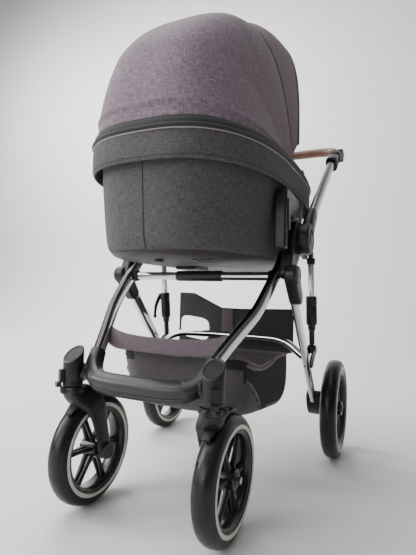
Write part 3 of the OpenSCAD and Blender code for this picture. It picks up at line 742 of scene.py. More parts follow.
def make_wheels():
    for side, sign in SIDES:
        front = (sign * FRONT_TRACK / 2, FRONT_HUB_Y, FRONT_R)
        rear = (sign * REAR_TRACK / 2, REAR_AXLE_Y, REAR_R)
        for where, r, body in ((front, FRONT_R, f"{side}_front_wheel"), (rear, REAR_R, f"{side}_rear_wheel")):
            make_tyre(sign, where, r, body)
            make_rim(sign, where, r, body)


# ---------------------------------------------------------------- forks and swivels
def make_fork(side, sign):
    body = f"{side}_fork"
    x0 = FRONT_TRACK / 2
    arm = x0 - TYRE_W / 2 - 6

    def spot(x, y, z):
        return at(sign * x, y, z)

    crown = []
    # the saddle: from under the collar, back and down over the tyre's inner shoulder
    path = [(x0, SWIVEL_Y, 258, 34, 34), (x0, SWIVEL_Y + 2, 250, 38, 37), (x0 - 2, SWIVEL_Y + 8, 244, 43, 44),
            (x0 - 9, SWIVEL_Y + 17, 237, 42, 52), (arm + 2, SWIVEL_Y + 27, 228, 30, 54),
            (arm - 4, SWIVEL_Y + 36, 214, 19, 50), (arm - 7, SWIVEL_Y + 43, 196, 14, 45),
            (arm - 7, SWIVEL_Y + 50, 172, 12.5, 38), (arm - 7, SWIVEL_Y + 58, 146, 12.5, 34),
            (arm - 7, FRONT_HUB_Y, FRONT_R, 12.5, 33), (arm - 7, FRONT_HUB_Y + 2.2, FRONT_R - 12, 12, 27),
            (arm - 7, FRONT_HUB_Y + 2.8, FRONT_R - 16.4, 9, 12)]
    points = [spot(p[0], p[1], p[2]) for p in path]
    dense = spline(points, 4)
    widths = [p[3:] for p in path]
    for i, p in enumerate(dense):
        w, d = between(widths, i / 4)
        _, u, v = frame_at(dense, i, X_AXIS)
        crown.append([p + u * (a / 1000) + v * (b / 1000) for a, b in section(28, w, d, 3.0)])
    made = lofted(body + "_moulding", crown, BLACK, body, caps=True, sharp=50)
    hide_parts(body)
    # mudguard lip over the tyre
    lip = []
    for k in range(15):
        a = math.radians(70 + 62 * k / 14)
        rad = FRONT_R + 7.0
        y = FRONT_HUB_Y + rad * math.cos(a)
        z = FRONT_R + rad * math.sin(a)
        half = 16.0 * math.sin(math.pi * (0.18 + 0.64 * k / 14))
        ring = []
        for u, v in section(20, 2 * half, 5.0, 3.5):
            out = Vector((0, math.cos(a), math.sin(a)))
            ring.append(spot(x0 - 6, y, z) + (Vector((sign * u, 0, 0)) + out * v) / 1000)
        lip.append(ring)
    lofted(body + "_guard", lip, BLACK, body, caps=True, sharp=50)
    boss = [(-0.5, 16.4), (4.0, 17.0), (6.2, 16.2), (6.8, 13.0), (5.8, 12.2), (5.6, 7.0), (6.6, 6.2),
            (6.8, 0.2)]
    turned(body + "_boss", boss, spot(arm - 12.5, FRONT_HUB_Y, FRONT_R), (-sign, 0, 0), SATIN, body, 40,
           sharp=30)
    turned(body + "_axle", [(0, 6), (60, 6)], spot(arm - 2, FRONT_HUB_Y, FRONT_R), (sign, 0, 0), STEEL, body,
           24)
    turned(body + "_stem", [(0, 8), (50, 8)], spot(x0, SWIVEL_Y, 246), (0, 0, 1), STEEL, body, 24)


def make_collar(side, sign):
    """The toothed ring under the swivel housing, fixed to the fork."""
    body = f"{side}_fork"
    centre = at(sign * FRONT_TRACK / 2, SWIVEL_Y, 0)
    rings = []
    for z, r, lobe in ((246, 19.0, 0.0), (248, 23.0, 1.6), (251, 24.6, 2.4), (257.5, 24.6, 2.4),
                       (260, 23.0, 1.6),
                       (261.4, 18.5, 0.0)):
        ring = []
        for j in range(96):
            a = 2 * math.pi * j / 96
            out = r + lobe * math.copysign(abs(math.sin(6 * a)) ** 0.6, math.sin(6 * a))
            ring.append(centre + Vector((out * math.cos(a), out * math.sin(a), z)) / 1000)
        rings.append(ring)
    lofted(body + "_collar", rings, BLACK, body, caps=True, sharp=45)


def make_swivel_housing(side, sign):
    """A round housing whose top is cut off at a slant and closed by an inset lid."""
    centre = at(sign * FRONT_TRACK / 2, SWIVEL_Y, 0)
    name = f"{side}_swivel_housing"
    lean = math.tan(math.radians(38))
    rings = []
    levels = [(262.2, 18.6, 0), (263.0, 20.0, 0), (268, 20.4, 0), (271, 19.6, 0), (273, 20.4, 0),
              (300, 20.5, 0.0),
              (324, 20.5, 0.92), (325.4, 20.0, 1.0), (326.2, 18.8, 1.0), (325.6, 17.4, 1.0),
              (324.6, 17.0, 1.0),
              (324.4, 0.5, 1.0)]
    for z, r, slant in levels:
        ring = []
        for j in range(64):
            a = 2 * math.pi * j / 64
            x, y = r * math.cos(a), r * math.sin(a)
            ring.append(centre + Vector((x, y, z + slant * y * lean)) / 1000)
        rings.append(ring)
    made = lofted(name + "_shell", rings, BLACK, "chassis", caps=True, sharp=32)
    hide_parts(name)
    # the arm that joins the housing to the bumper's corner
    path = [at(sign * (FRONT_TRACK / 2 - 8), SWIVEL_Y + 4, 292), at(sign * 148, SWIVEL_Y + 12, 290),
            at(sign * 136, -268, 286)]
    swept(f"{side}_swivel_arm", spline(path, 5), section(24, 34, 40, 2.8), Z_AXIS, BLACK, "chassis",
          sharp=50)


# ---------------------------------------------------------------- chassis
def make_bumper():
    """One moulding: a deep rounded bar across the front whose ends turn up over the front tubes."""
    half = [at(0, -288, 274), at(48, -287, 274), at(80, -284, 275), at(100, -279, 278), at(115, -270, 285),
            at(126, -260, 295), at(132, -251, 306), at(134.5, -243, 317), at(137, -235, 327)]
    size = [(41, 37), (41, 37), (41, 37), (40, 36), (38, 35), (36, 34), (34, 31.5), (32, 29.5), (31, 28)]
    mirror = [Vector((-p.x, p.y, p.z)) for p in reversed(half[1:])]
    path = spline(mirror + half, 6)
    sizes = list(reversed(size[1:])) + size
    rings = []
    for i, p in enumerate(path):
        w, d = between(sizes, i / 6)
        tangent = (path[min(i + 1, len(path) - 1)] - path[max(i - 1, 0)]).normalized()
        u = Vector((0, 0.46, -0.89)) if abs(p.x) < 0.1 else Vector((0, 0.75, -0.66))
        u = (u - u.dot(tangent) * tangent).normalized()
        v = tangent.cross(u)
        rings.append([p + u * (a / 1000) + v * (b / 1000) for a, b in section(36, w, d, 2.9)])
    made = lofted("bumper_moulding", rings, SATIN, "chassis", caps=True, sharp=60, slot="soft_black")
    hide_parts("bumper")
    # a fine parting line low on the front of the bar
    line = [p + Vector((0, -0.0168, -0.0105)) for p in path if abs(p.x) < 0.105]
    swept("bumper_parting_line", line, section(8, 1.2, 1.2), Z_AXIS, GLOSS, "chassis",
          slot="soft_black")


TUBE_PATH = [(134, -243, 316), (149, -204, 352), (161, -177, 376.5), (180, -133, 416), (189, -92, 456),
             (194, -58, 488), (197, -30, 512), (200, 4, 548)]


def make_front_tube(side, sign):
    """Flat-oval chrome tube with a dark inlay down its outer face."""
    path = spline([at(sign * x, y, z) for x, y, z in TUBE_PATH], 7)
    body = "chassis"
    outline = section(40, 19.5, 28.5, 3.0)
    made = swept(f"{side}_front_tube_chrome", path, outline, X_AXIS, CHROME, body, sharp=60,
                 slot="chrome")
    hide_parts(f"{side}_front_tube")
    inset = []
    for i, p in enumerate(path):
        _, _, v = frame_at(path, i, X_AXIS)
        face = v if v.y < 0 else -v
        inset.append(p + face * 0.0128)
    swept(f"{side}_front_tube_inlay", inset, section(16, 14.5, 4.2, 3.0), X_AXIS, INLAY, body,
          sharp=60, slot="dark_chrome")


def make_hinge_housing(side, sign):
    """The fold housing: a long smooth moulding from the tube's end up past the handle's pin."""
    body = "chassis"
    outline = [(-52, 500), (-24, 488, 14), (8, 520, 30), (44, 548, 30), (66, 566, 18), (98, 604, 14),
               (92, 630, 16),
               (62, 634, 24), (14, 632, 30), (-4, 600, 30), (-30, 560, 40)]
    shape = rounded_path([(y, z) + tuple(r) for y, z, *r in outline], 12)
    made = plate(f"{side}_fold_housing", shape, sign * 204, sign * 231, BLACK, body, 4.0)
    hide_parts(f"{side}_hinge_housing")
    arm = capsule((70, 604), STRUT_TOP, 14.5, 12)
    plate(f"{side}_strut_arm", arm, sign * 207, sign * 220, BLACK, body, 2.5)
    turned(f"{side}_fold_pin", [(0, 8), (25, 8)], at(sign * 231, *HINGE), (sign, 0, 0), STEEL, body, 24)
    ring = [(0, 8.6), (1.2, 8.2), (1.2, 5.1), (-2.0, 5.0)]
    turned(f"{side}_socket_rim", ring, at(sign * 230.6, 6, 544), (sign, 0, 0), BLACK, body, 32, sharp=30)


def make_handle_hinge(side, sign):
    body = "handle"
    disc = [(0, 36.5), (4, 37), (21.5, 36.8), (24.5, 35.2), (25.8, 32), (26.3, 26), (25.2, 25.2), (25.2, 14),
            (26.6, 13.2), (26.9, 0.2)]
    made = turned(f"{side}_hinge_disc", disc, at(sign * 231.6, *HINGE), (sign, 0, 0), BLACK, body, 64,
                  sharp=32)
    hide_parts(f"{side}_handle_hinge")
    path = spline([at(sign * HANDLE_X, 50, 602), at(sign * HANDLE_X, 66, 626), at(sign * HANDLE_X, 88, 648),
                   at(sign * HANDLE_X, 104, 660)], 5)
    swept(f"{side}_hinge_socket", path, section(32, 26, 40, 3.2), X_AXIS, BLACK, body,
          scale=lambda t: 1.12 - 0.14 * t, sharp=50)


def make_handle_tube(side, sign):
    points = [(81, 642), (130, 679), (217, 744), (310, 812), (401, 876), (445, 902), (480, 920), (512, 936)]
    path = spline([at(sign * HANDLE_X, y, z) for y, z in points], 6)
    made = swept(f"{side}_handle_tube_plated", path, section(36, 21.6, 28.6, 2.7), X_AXIS, DARK_CHROME,
                 "handle", sharp=60, slot="dark_chrome")
    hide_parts(f"{side}_handle_tube")


def make_slider(side, sign):
    body = f"{side}_release_slider"
    a = math.radians(30)
    along = Vector((0, math.cos(a), math.sin(a)))
    up = Vector((0, -math.sin(a), math.cos(a)))
    centre = at(sign * HANDLE_X, 430, 894)
    rings = []
    stations = [(-33, 30, 40, -1), (-31, 35, 46, -1), (-20, 36, 46, -1), (-10, 33.5, 43, 0), (10, 33, 42, 0),
                (21, 33.5, 43, 0), (23.5, 31, 40, 0)]
    for s, w, d, drop in stations:
        p = centre + along * (s / 1000) + up * (drop / 1000)
        rings.append([p + Vector((u / 1000, 0, 0)) + up * (v / 1000) for u, v in section(36, w, d, 3.6)])
    inner = []
    for s in (23.5, -33):
        p = centre + along * (s / 1000)
        inner.append([p + Vector((u / 1000, 0, 0)) + up * (v / 1000) for u, v in section(36, 23, 31, 3.0)])
    made = lofted(f"{body}_moulding", rings + inner, BLACK, body, joined=True, sharp=40)
    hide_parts(body)
    for k in range(4):
        p = centre + along * ((-8 + 6.5 * k) / 1000) + Vector((sign * 0.0165, 0, 0))
        bar = [p + up * (v / 1000) for v in (-9, 0, 9)]
        swept(f"{body}_grip_{k}", bar, section(10, 2.0, 2.4), X_AXIS, BLACK, body)


def make_knuckle(side, sign):
    """The tilt knuckle: a socket on the tube, a round boss, and the push button with a bright ring."""
    body = "handle"
    path = spline([at(sign * HANDLE_X, 505, 933), at(sign * HANDLE_X, 522, 941),
                   at(sign * (HANDLE_X + 4), 541, 948),
                   at(sign * (HANDLE_X + 7), 556, 954)], 5)
    made = swept(f"{side}_knuckle_socket", path, section(32, 27, 35, 3.0), X_AXIS, BLACK, body,
                 scale=lambda t: 1.0 - 0.3 * t * t, sharp=50)
    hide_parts(f"{side}_tilt_knuckle")
    boss = [(-2.6, 21.5), (-1.6, 23), (12.5, 23.2), (15.4, 22.0), (16.2, 19.4), (16.2, 15.5), (14.4, 15.0),
            (14.0, 11.3), (0, 11.3)]
    turned(f"{side}_knuckle_boss", boss, at(sign * HANDLE_X, *TILT), (sign, 0, 0), BLACK, body, 56, sharp=32)
    button = f"{side}_tilt_button"
    dome = [(5, 10.8), (16.0, 10.8), (18.2, 10.2), (18.8, 8.6), (18.4, 7.4), (18.8, 0.2)]
    cap = turned(f"{button}_cap", dome, at(sign * HANDLE_X, *TILT), (sign, 0, 0), GLOSS, button, 48,
                 sharp=32, slot="button_metal")
    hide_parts(button)
    halo = [(16.0, 10.9), (17.2, 14.6), (18.2, 13.4), (18.4, 11.6), (17.2, 10.9)]
    turned(f"{side}_knuckle_ring", halo, at(sign * (HANDLE_X - 0.6), *TILT), (sign, 0, 0), STEEL, body, 56,
           sharp=50, slot="button_metal")


GRIP = [(-224, 600, 979), (-219, 612, 987), (-208, 624, 993.5), (-190, 631.5, 997), (-160, 636, 1000),
        (-80, 639, 1001.5), (0, 640, 1002), (80, 639, 1001.5), (160, 636, 1000), (190, 631.5, 997),
        (208, 624, 993.5), (219, 612, 987), (224, 600, 979)]


def make_handlebar():
    body = "handlebar"
    path = spline([at(*p) for p in GRIP], 8)
    lumps = [1.0 + 0.012 * noise.noise(Vector((k * 0.35, 0, 3.1))) for k in range(len(path))]
    rings = []
    for i, p in enumerate(path):
        _, u, v = frame_at(path, i, Y_AXIS)
        edge = min(i, len(path) - 1 - i)
        r = GRIP_D / 2 * lumps[i] * (0.9 + 0.1 * min(1, edge / 2.5))
        ring = []
        for j in range(40):
            a = 2 * math.pi * j / 40
            seam = 0.7 * math.exp(-((((a - 4.9 + math.pi) % (2 * math.pi)) - math.pi) / 0.07) ** 2)
            ring.append(p + (u * math.cos(a) + v * math.sin(a)) * ((r - seam) / 1000))
        rings.append(ring)
    made = lofted("handlebar_leather", rings, BROWN, body, caps=True, sharp=60, slot="leather")
    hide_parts("handlebar_grip")
    stitch_row("grip_stitches", path[3:-3], 4.9, GRIP_D / 2 - 0.2, body)
    for side, sign in SIDES:
        hub = [(-24, 17), (-22.5, 21), (-20, 22), (-5.5, 22), (-3.6, 21)]
        made = turned(f"{side}_bar_hub", hub, at(sign * HANDLE_X, *TILT), (sign, 0, 0), BLACK, body, 56,
                      sharp=35)
        if sign > 0:
            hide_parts("handlebar")
        arm = spline([at(sign * 234, 556, 956), at(sign * 232, 576, 966), at(sign * 228, 592, 975),
                      at(sign * 223.5, 604, 983)], 5)
        swept(f"{side}_bar_arm", arm, section(28, 19, 37, 3.0), X_AXIS, BLACK, body,
              scale=lambda t: 1.0 - 0.12 * t, sharp=50)


def stitch_row(name, path, turn, radius, body):
    """Short slanted stitches that close the leather along its seam, as one piece."""
    line = even(path, 150)
    verts, faces = [], []
    for i in range(1, len(line) - 1):
        t, u, v = frame_at(line, i, Y_AXIS)
        for lean in (-0.16, 0.16):
            a0, a1 = turn - lean - 0.02, turn + lean + 0.02
            ends = []
            for a, s in ((a0, -0.0011), (a1, 0.0011)):
                out = u * math.cos(a) + v * math.sin(a)
                ends.append((line[i] + out * ((radius + 0.35) / 1000) + t * s, out))
            base = len(verts)
            for p, out in ends:
                for k in range(4):
                    b = math.pi / 2 * k
                    verts.append(p + out * (0.00045 * math.cos(b)) + t * (0.00045 * math.sin(b)))
            for k in range(4):
                faces.append((base + k, base + (k + 1) % 4, base + 4 + (k + 1) % 4, base + 4 + k))
    piece(name, verts, faces, THREAD, body, slot="leather")


# ---------------------------------------------------------------- rear legs and struts
def make_rear_leg(side, sign):
    body = "rear_legs"
    a = at(sign * LEG_X, *LEG_PIVOT)
    b = at(sign * LEG_X, *LEG_FOOT)
    path = [a + (b - a) * (k / 12) for k in range(13)]
    made = swept(f"{side}_rear_leg_chrome", path, section(40, 15.6, 28.5, 3.4), X_AXIS, CHROME, body,
                 sharp=60, slot="chrome")
    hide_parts(f"{side}_rear_leg")
    down = Vector((0, LEG_FOOT[0] - LEG_PIVOT[0], LEG_FOOT[1] - LEG_PIVOT[1])).normalized()
    low = (LEG_PIVOT[0] + down.y * 66, LEG_PIVOT[1] + down.z * 66)
    shape = capsule(LEG_PIVOT, low, 22.6, 17.5)
    plate(f"{side}_pivot_sleeve", shape, sign * 216, sign * 243, BLACK, body, 5.0)
    cap = [(0, 20.5), (3.0, 20.0), (4.2, 18.4), (3.4, 17.2), (3.2, 9.0), (4.0, 8.2), (4.2, 0.2)]
    turned(f"{side}_pivot_cap", cap, at(sign * 242.4, *LEG_PIVOT), (sign, 0, 0), SATIN, body, 56, sharp=32)


def make_arch():
    body = "rear_legs"
    half = [(0, 156, 338), (60, 156, 338.5), (110, 156, 338), (145, 155, 336), (176, 151.5, 327),
            (200, 147.5, 310), (219, 144, 296)]
    points = [at(-x, y, z) for x, y, z in reversed(half[1:])] + [at(x, y, z) for x, y, z in half]
    made = swept("rear_arch_chrome", spline(points, 7), section(28, 19.5, 19.5), Y_AXIS, CHROME, body,
                 sharp=60, slot="chrome")
    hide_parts("rear_arch")


def make_axle_blocks():
    body = "rear_legs"
    first = None
    for side, sign in SIDES:
        shape = rounded_path([(246, 170, 12), (268, 190, 14), (298, 168, 14), (326, 142, 22), (320, 112, 20),
                              (290, 110, 18), (262, 134, 14)], 10)
        made = plate(f"{side}_axle_block", shape, sign * 206, sign * 244, BLACK, body, 3.5)
        first = first or made
        turned(f"{side}_axle_flange", [(0, 21), (2.5, 20), (4.5, 15), (8, 12.5), (9.0, 8), (33, 6)],
               at(sign * 243.5, REAR_AXLE_Y, REAR_R), (sign, 0, 0), BLACK, body, 40, sharp=32)
    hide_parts("axle_blocks")


def make_pedal():
    body = "brake_pedal"
    rings = []
    for y, z, w, h, x in ((326, 122, 21, 13, 225), (333, 122, 21, 17, 225), (342, 122, 21, 15, 225),
                          (352, 123, 23, 11, 226), (364, 124, 26, 9, 228), (376, 125, 27.5, 8, 228.2),
                          (380.4, 125, 25, 5.5, 228.2)):
        rings.append([at(-x + u, y, z + v) for u, v in section(28, w, h, 3.6)])
    made = lofted("brake_pedal_moulding", rings, SLATE, body, caps=True, sharp=45, slot="grey_plastic")
    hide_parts("brake_pedal")
    for k in range(4):
        y = 354 + 6 * k
        bar = [at(-228 + u, y, 128.6 + 0.15 * k) for u in (-9.5, 0, 9.5)]
        swept(f"brake_pedal_rib_{k}", bar, section(10, 2.2, 2.2), Y_AXIS, SLATE, body,
              slot="grey_plastic")


STRUT_LEN = math.hypot(STRUT_TOP[0] - STRUT_FOOT[0], STRUT_TOP[1] - STRUT_FOOT[1])
STRUT_DIR = Vector((0, STRUT_TOP[0] - STRUT_FOOT[0], STRUT_TOP[1] - STRUT_FOOT[1])).normalized()


def strut_spot(sign, s, x=0.0, ahead=0.0):
    """A point s along a strut from its lower eye, x outwards and ahead towards the front."""
    front = Vector((0, -STRUT_DIR.z, STRUT_DIR.y))
    base = at(sign * (STRUT_X + x), *STRUT_FOOT)
    return base + (STRUT_DIR * s + front * ahead) / 1000


def make_strut(side, sign):
    sleeve = f"{side}_strut_sleeve"
    profile = [(14, 6.8), (16, 7.5), (52, 7.5), (54, 9.6), (58, 10.2), (66, 10.2), (68, 12.6), (71, 14.2),
               (74, 14.6), (118, 14.6), (120, 13.8), (122, 14.6), (140, 14.6), (144, 14.2), (146, 12.6),
               (146, 8.3), (120, 8.2)]
    made = turned(f"{sleeve}_moulding", profile, strut_spot(sign, 0), STRUT_DIR, BLACK, sleeve, 40, sharp=32)
    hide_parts(sleeve)
    turned(f"{sleeve}_eye", [(-5, 10.6), (-4, 12), (4, 12), (5, 10.6)], strut_spot(sign, 0), (1, 0, 0),
           BLACK, sleeve, 40, sharp=35)
    neck = [strut_spot(sign, s) for s in (2, 9, 18)]
    swept(f"{sleeve}_neck", neck, section(20, 9.4, 14, 3.0), X_AXIS, BLACK, sleeve)
    rod = f"{side}_strut_rod"
    made = turned(f"{rod}_plated", [(122, 7.7), (125, 8), (STRUT_LEN - 12, 8), (STRUT_LEN - 10, 7.6)],
                  strut_spot(sign, 0), STRUT_DIR, CHROME, rod, 40, sharp=35, slot="chrome")
    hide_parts(rod)
    turned(f"{rod}_eye", [(-5.4, 11), (-4.2, 12.4), (4.2, 12.4), (5.4, 11), (5.4, 6), (6.4, 5.4), (6.6, 0.2)],
           strut_spot(sign, STRUT_LEN), (sign, 0, 0), BLACK, rod, 40, sharp=35)
    collar = [(STRUT_LEN - 26, 8.2), (STRUT_LEN - 25, 10.4), (STRUT_LEN - 13, 11.4), (STRUT_LEN - 8, 10.2)]
    turned(f"{rod}_collar", collar, strut_spot(sign, 0), STRUT_DIR, BLACK, rod, 36, sharp=40)


def make_hook():
    """The transport hook: a lever on the right strut with a small round end."""
    body = "transport_hook"
    spots = [(134, 0), (126, -11), (110, -25), (96, -31), (82, -34), (76, -35)]
    path = spline([strut_spot(-1, s, 19, -a) for s, a in spots], 5)
    made = swept("transport_hook_lever", path, section(20, 6.0, 12.5, 2.8), X_AXIS, BLACK, body,
                 scale=lambda t: 1.25 - 0.45 * t, sharp=50)
    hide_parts(body)
    turned("transport_hook_eye", [(-3.2, 8), (-2.4, 9.2), (2.4, 9.2), (3.2, 8)], strut_spot(-1, 134, 19),
           (1, 0, 0),
           BLACK, body, 32, sharp=35)
    turned("transport_hook_end", [(-3.2, 4.8), (-2.4, 6), (2.4, 6), (3.2, 4.8)], strut_spot(-1, 76, 19, 35),
           (1, 0, 0), BLACK, body, 28, sharp=35)
    turned("hook_pin", [(12, 4), (25, 4)], strut_spot(-1, 134), (-1, 0, 0), STEEL, "right_strut_sleeve", 20)


def make_strut_feet():
    first = None
    for side, sign in SIDES:
        for tag, x in (("in", STRUT_X - 10.5), ("out", STRUT_X + 5.5)):
            shape = capsule((160, 281), STRUT_FOOT, 15, 12)
            made = plate(f"{side}_strut_foot_{tag}", shape, sign * x, sign * (x + 5), BLACK, "rear_legs", 1.2)
            first = first or made
        turned(f"{side}_strut_foot_pin", [(10, 4), (11.5, 6.5), (13.5, 6.2), (14.2, 3), (14.2, 0.2)],
               at(sign * STRUT_X, *STRUT_FOOT), (sign, 0, 0), STEEL, "rear_legs", 28, sharp=35)
    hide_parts("strut_feet")


def make_cross():
    finish_node("cross_tube", CHROME)
    sleeve = [(-62, 11.0), (-60.5, 12.6), (-57, 13), (57, 13), (60.5, 12.6), (62, 11.0)]
    made = turned("cross_sleeve_moulding", sleeve, at(0, *CROSS), (1, 0, 0), SATIN, "chassis", 48, sharp=35,
                  slot="soft_black")
    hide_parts("cross_sleeve")
    for side, sign in SIDES:
        ferrule = [(0, 14.5), (2, 15.2), (13, 13.2), (15, 11.5), (15, 10.2)]
        turned(f"{side}_cross_ferrule", ferrule, at(sign * 192, *CROSS), (-sign, 0, 0), BLACK, "chassis", 40,
               sharp=35)


# ---------------------------------------------------------------- basket
BASKET_RINGS = [(70, 96, -54, 118, 181, 166), (120, 148, -80, 148, 182, 165), (140, 166, -92, 158, 188, 170),
                (149, 175, -103, 166, 202, 182), (156, 181, -114, 173, 222, 198),
                (160, 184, -124, 180, 244, 216),
                (162, 185, -133, 184, 270, 242), (162, 185, -142, 187, 298, 270),
                (161, 184, -150, 189, 326, 294)]


def basket_point(ring, a, power=0.34):
    wf, wr, yf, yr, zf, zr = ring
    c, s = math.cos(a), math.sin(a)
    px = math.copysign(abs(c) ** power, c)
    py = math.copysign(abs(s) ** power, s)
    back = (1 + py) / 2
    return wf + (wr - wf) * back, px, yf + (yr - yf) * back, zf + (zr - zf) * back


def seam_y(z):
    return -140 + (300 - z) * 1.17


def bag_side(y, z):
    """Half width of the bag at a place along it and a height, on its rounded-off outline."""
    heights = [ring[4] for ring in BASKET_RINGS]
    wf, wr, yf, yr = (float(np.interp(z, heights, [ring[k] for ring in BASKET_RINGS])) for k in range(4))
    along = min(0.999, max(-0.999, 2 * (y - yf) / (yr - yf) - 1))
    corner = (1 - abs(along) ** (2 / 0.34)) ** 0.17
    return (wf + (wr - wf) * (along + 1) / 2) * corner


def make_basket():
    """The bag: a tapered tub of melange cloth with net pockets in its rear sides, sagging at the bottom."""
    count = 120
    rings = []
    for i, ring in enumerate(BASKET_RINGS):
        line = []
        for j in range(count):
            a = 2 * math.pi * j / count
            half, px, y, z = basket_point(ring, a)
            top = i / (len(BASKET_RINGS) - 1)
            side = abs(px) ** 6
            dip = 22 * top ** 6 * side * max(0, math.sin(math.pi * min(1, max(0, (y + 138) / 185))))
            folds = 2.4 * noise.noise(Vector((px * 3 + y * 0.02, top * 2.0, 5.0))) * (1 - top)
            line.append(at(half * px + folds * px, y + 0.6 * folds, z - dip + folds))
        rings.append(even(line, count, True))
    made = lofted("basket_bag", rings, BASKET, "chassis", sharp=60, slot="basket_fabric")
    made.data.materials.append(NET)
    for poly in made.data.polygons:
        c = poly.center
        y = c.y * 1000 + CENTRE_Y
        z = c.z * 1000
        seam = seam_y(z)
        if abs(c.x) > 0.115 and seam < y < 176 and z > 186 and abs(poly.normal.z) < 0.75:
            poly.material_index = 1
    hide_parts("basket")
    bottom = rings[0]
    centre = sum(bottom, Vector()) / count
    floor_rings = [[centre + (p - centre) * k + Vector((0, 0, -0.003 * (1 - k))) for p in bottom]
                   for k in (0.05, 0.35, 0.7, 1.0)]
    floor = lofted("basket_floor", floor_rings, BASKET, "chassis", sharp=60, slot="basket_fabric")
    for o in (made, floor):
        thickened(o, 0.0016)
        subdivided(o)
    binding("basket_rim", rings[-1] + rings[-1][:1], 2.6, 7.0, STRAP, "chassis")
    for side, sign in SIDES:
        edge = []
        for z in range(192, 273, 8):
            y = seam_y(z)
            edge.append(at(sign * (bag_side(y, z) + 1.8), y, z))
        binding(f"{side}_pocket_seam", spline(edge, 4), 1.6, 6.0, STRAP, "chassis")
        dip = [at(sign * (bag_side(y, z) + 1.0), y, z) for y, z in (
            (-112, 306), (-88, 296), (-50, 290), (-12, 291), (24, 297), (48, 306))]
        binding(f"{side}_pocket_binding", spline(dip, 6), 3.0, 8.0, STRAP, "chassis")


def binding(name, path, thick, width, mat, body, slot="basket_fabric", side=Z_AXIS):
    """A flat band along an edge, lying square to side."""
    swept(name, path, section(12, width, thick, 3.0), side, mat, body, sharp=60, slot=slot)


def make_strap():
    """A wide folded strap that meets both front tubes from behind and sags a little between them."""
    line = []
    for k in range(41):
        s = k / 40 * 2 - 1
        x = 156 * s
        y = -190 - 7 * (1 - s * s) + 10 * abs(s) ** 8
        z = 352 - 9 * (1 - s * s) + 10 * abs(s) ** 6
        line.append(at(x, y, z))
    rings = []
    for i, p in enumerate(line):
        s = i / 20 - 1
        lean = 0.18 + 0.25 * abs(s) ** 4
        up = Vector((0, math.sin(lean), math.cos(lean)))
        out = Vector((0, -math.cos(lean), math.sin(lean)))
        half = 16.5 + 3.0 * abs(s) ** 3
        ring = []
        for u, v in section(28, 2 * half, 4.2, 4.0):
            crease = 0.5 * math.cos(u / half * math.pi) + 0.7 * noise.noise(Vector((i * 0.3, u * 0.06, 2)))
            ring.append(p + up * (u / 1000) + out * ((v + crease) / 1000))
        rings.append(ring)
    made = lofted("basket_strap_cloth", rings, STRAP, "chassis", caps=True, sharp=60, slot="basket_fabric")
    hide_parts("basket_strap")
    # the front wall rises from the bag to the strap
    rows = []
    for k in range(7):
        t = k / 6
        row = []
        for j in range(33):
            s = j / 16 - 1
            low = at(148 * s, -151 + 5 * abs(s) ** 6, 322)
            high = at(146 * s, -191 - 6 * (1 - s * s), 338 - 9 * (1 - s * s))
            p = low.lerp(high, t)
            p.z += 0.0016 * noise.noise(Vector((s * 4, t * 2, 9))) - 0.004 * math.sin(math.pi * t)
            row.append(p)
        rows.append(row)
    wall = lofted("basket_front_wall", rows, BASKET, "chassis", closed=False, sharp=60, slot="basket_fabric")
    thickened(wall, 0.0016)


def make_rear_panel():
    """The stitched black rear panel with a cut-out on its right and a mauve strip."""
    def top_at(x):
        xs = (-183, -130, -38, 20, 169, 184)
        zs = (454, 453, 411, 410, 414, 414)
        return float(np.interp(x, xs, zs))

    rows, cols = 14, 220
    rings = []
    for i in range(rows + 1):
        line = []
        for j in range(cols):
            a = 2 * math.pi * j / cols
            c, sn = math.cos(a), math.sin(a)
            hole = 1.0 / ((abs(c) / 48) ** 4 + (abs(sn) / 33) ** 4) ** 0.25
            edge = hole
            while abs(-126 + edge * c) < 180 and 292 < 350 + edge * sn < top_at(-126 + edge * c):
                edge += 0.5
            r = hole + (edge - hole) * (i / rows) ** 1.3
            x = -126 + r * c
            z = 350 + r * sn - 0.12 * r * c * (1 - i / rows)
            y = 199 + 0.9 * math.sin(x * 0.05) + 1.2 * noise.noise(Vector((x * 0.02, z * 0.03, 1)))
            line.append(at(x, y, z))
        rings.append(line)
    made = lofted("basket_back_panel", rings, LINER, "chassis", sharp=60, slot="basket_mesh")
    strip = [at(-17, 194.4, 296 + (411 - 296) * k / 12) for k in range(13)]
    binding("back_panel_strip", strip, 1.6, 36.0, STRAP, "chassis", "basket_mesh", X_AXIS)
    thickened(made, 0.0026)
    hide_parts("basket_rear_panel")
    edge = [at(-180 + 360 * j / cols, 198, top_at(-180 + 360 * j / cols)) for j in range(cols + 1)]
    binding("back_panel_binding", even(edge, 70), 4.0, 6.0, DARK_THREAD, "chassis", "basket_mesh")


# ---------------------------------------------------------------- carrycot
def cot_outline(half_w, front, rear, z, n=160, power=0.72, wave=0.0, seed=0.0):
    """The cot's plan outline at one height, in even steps, starting at the middle of its front."""
    line = []
    for j in range(400):
        a = 2 * math.pi * j / 400 - math.pi / 2
        c, s = math.cos(a), math.sin(a)
        x = half_w * math.copysign(abs(c) ** power, c)
        reach = COT_MID - front if s < 0 else rear - COT_MID
        y = COT_MID + reach * math.copysign(abs(s) ** power, s)
        line.append(at(x, y, z))
    line = even(line, n, True)
    if wave:
        mid = at(0, COT_MID, z)
        for k, p in enumerate(line):
            a = 2 * math.pi * k / n
            w = noise.noise(Vector((3 * math.cos(a) + seed, 3 * math.sin(a), z * 0.02)))
            out = (p - mid).normalized()
            line[k] = p + out * (wave * w / 1000)
    return line


def cot_inset(d):
    return COT_HALF_W - d, COT_FRONT + d * 1.05, COT_REAR - d


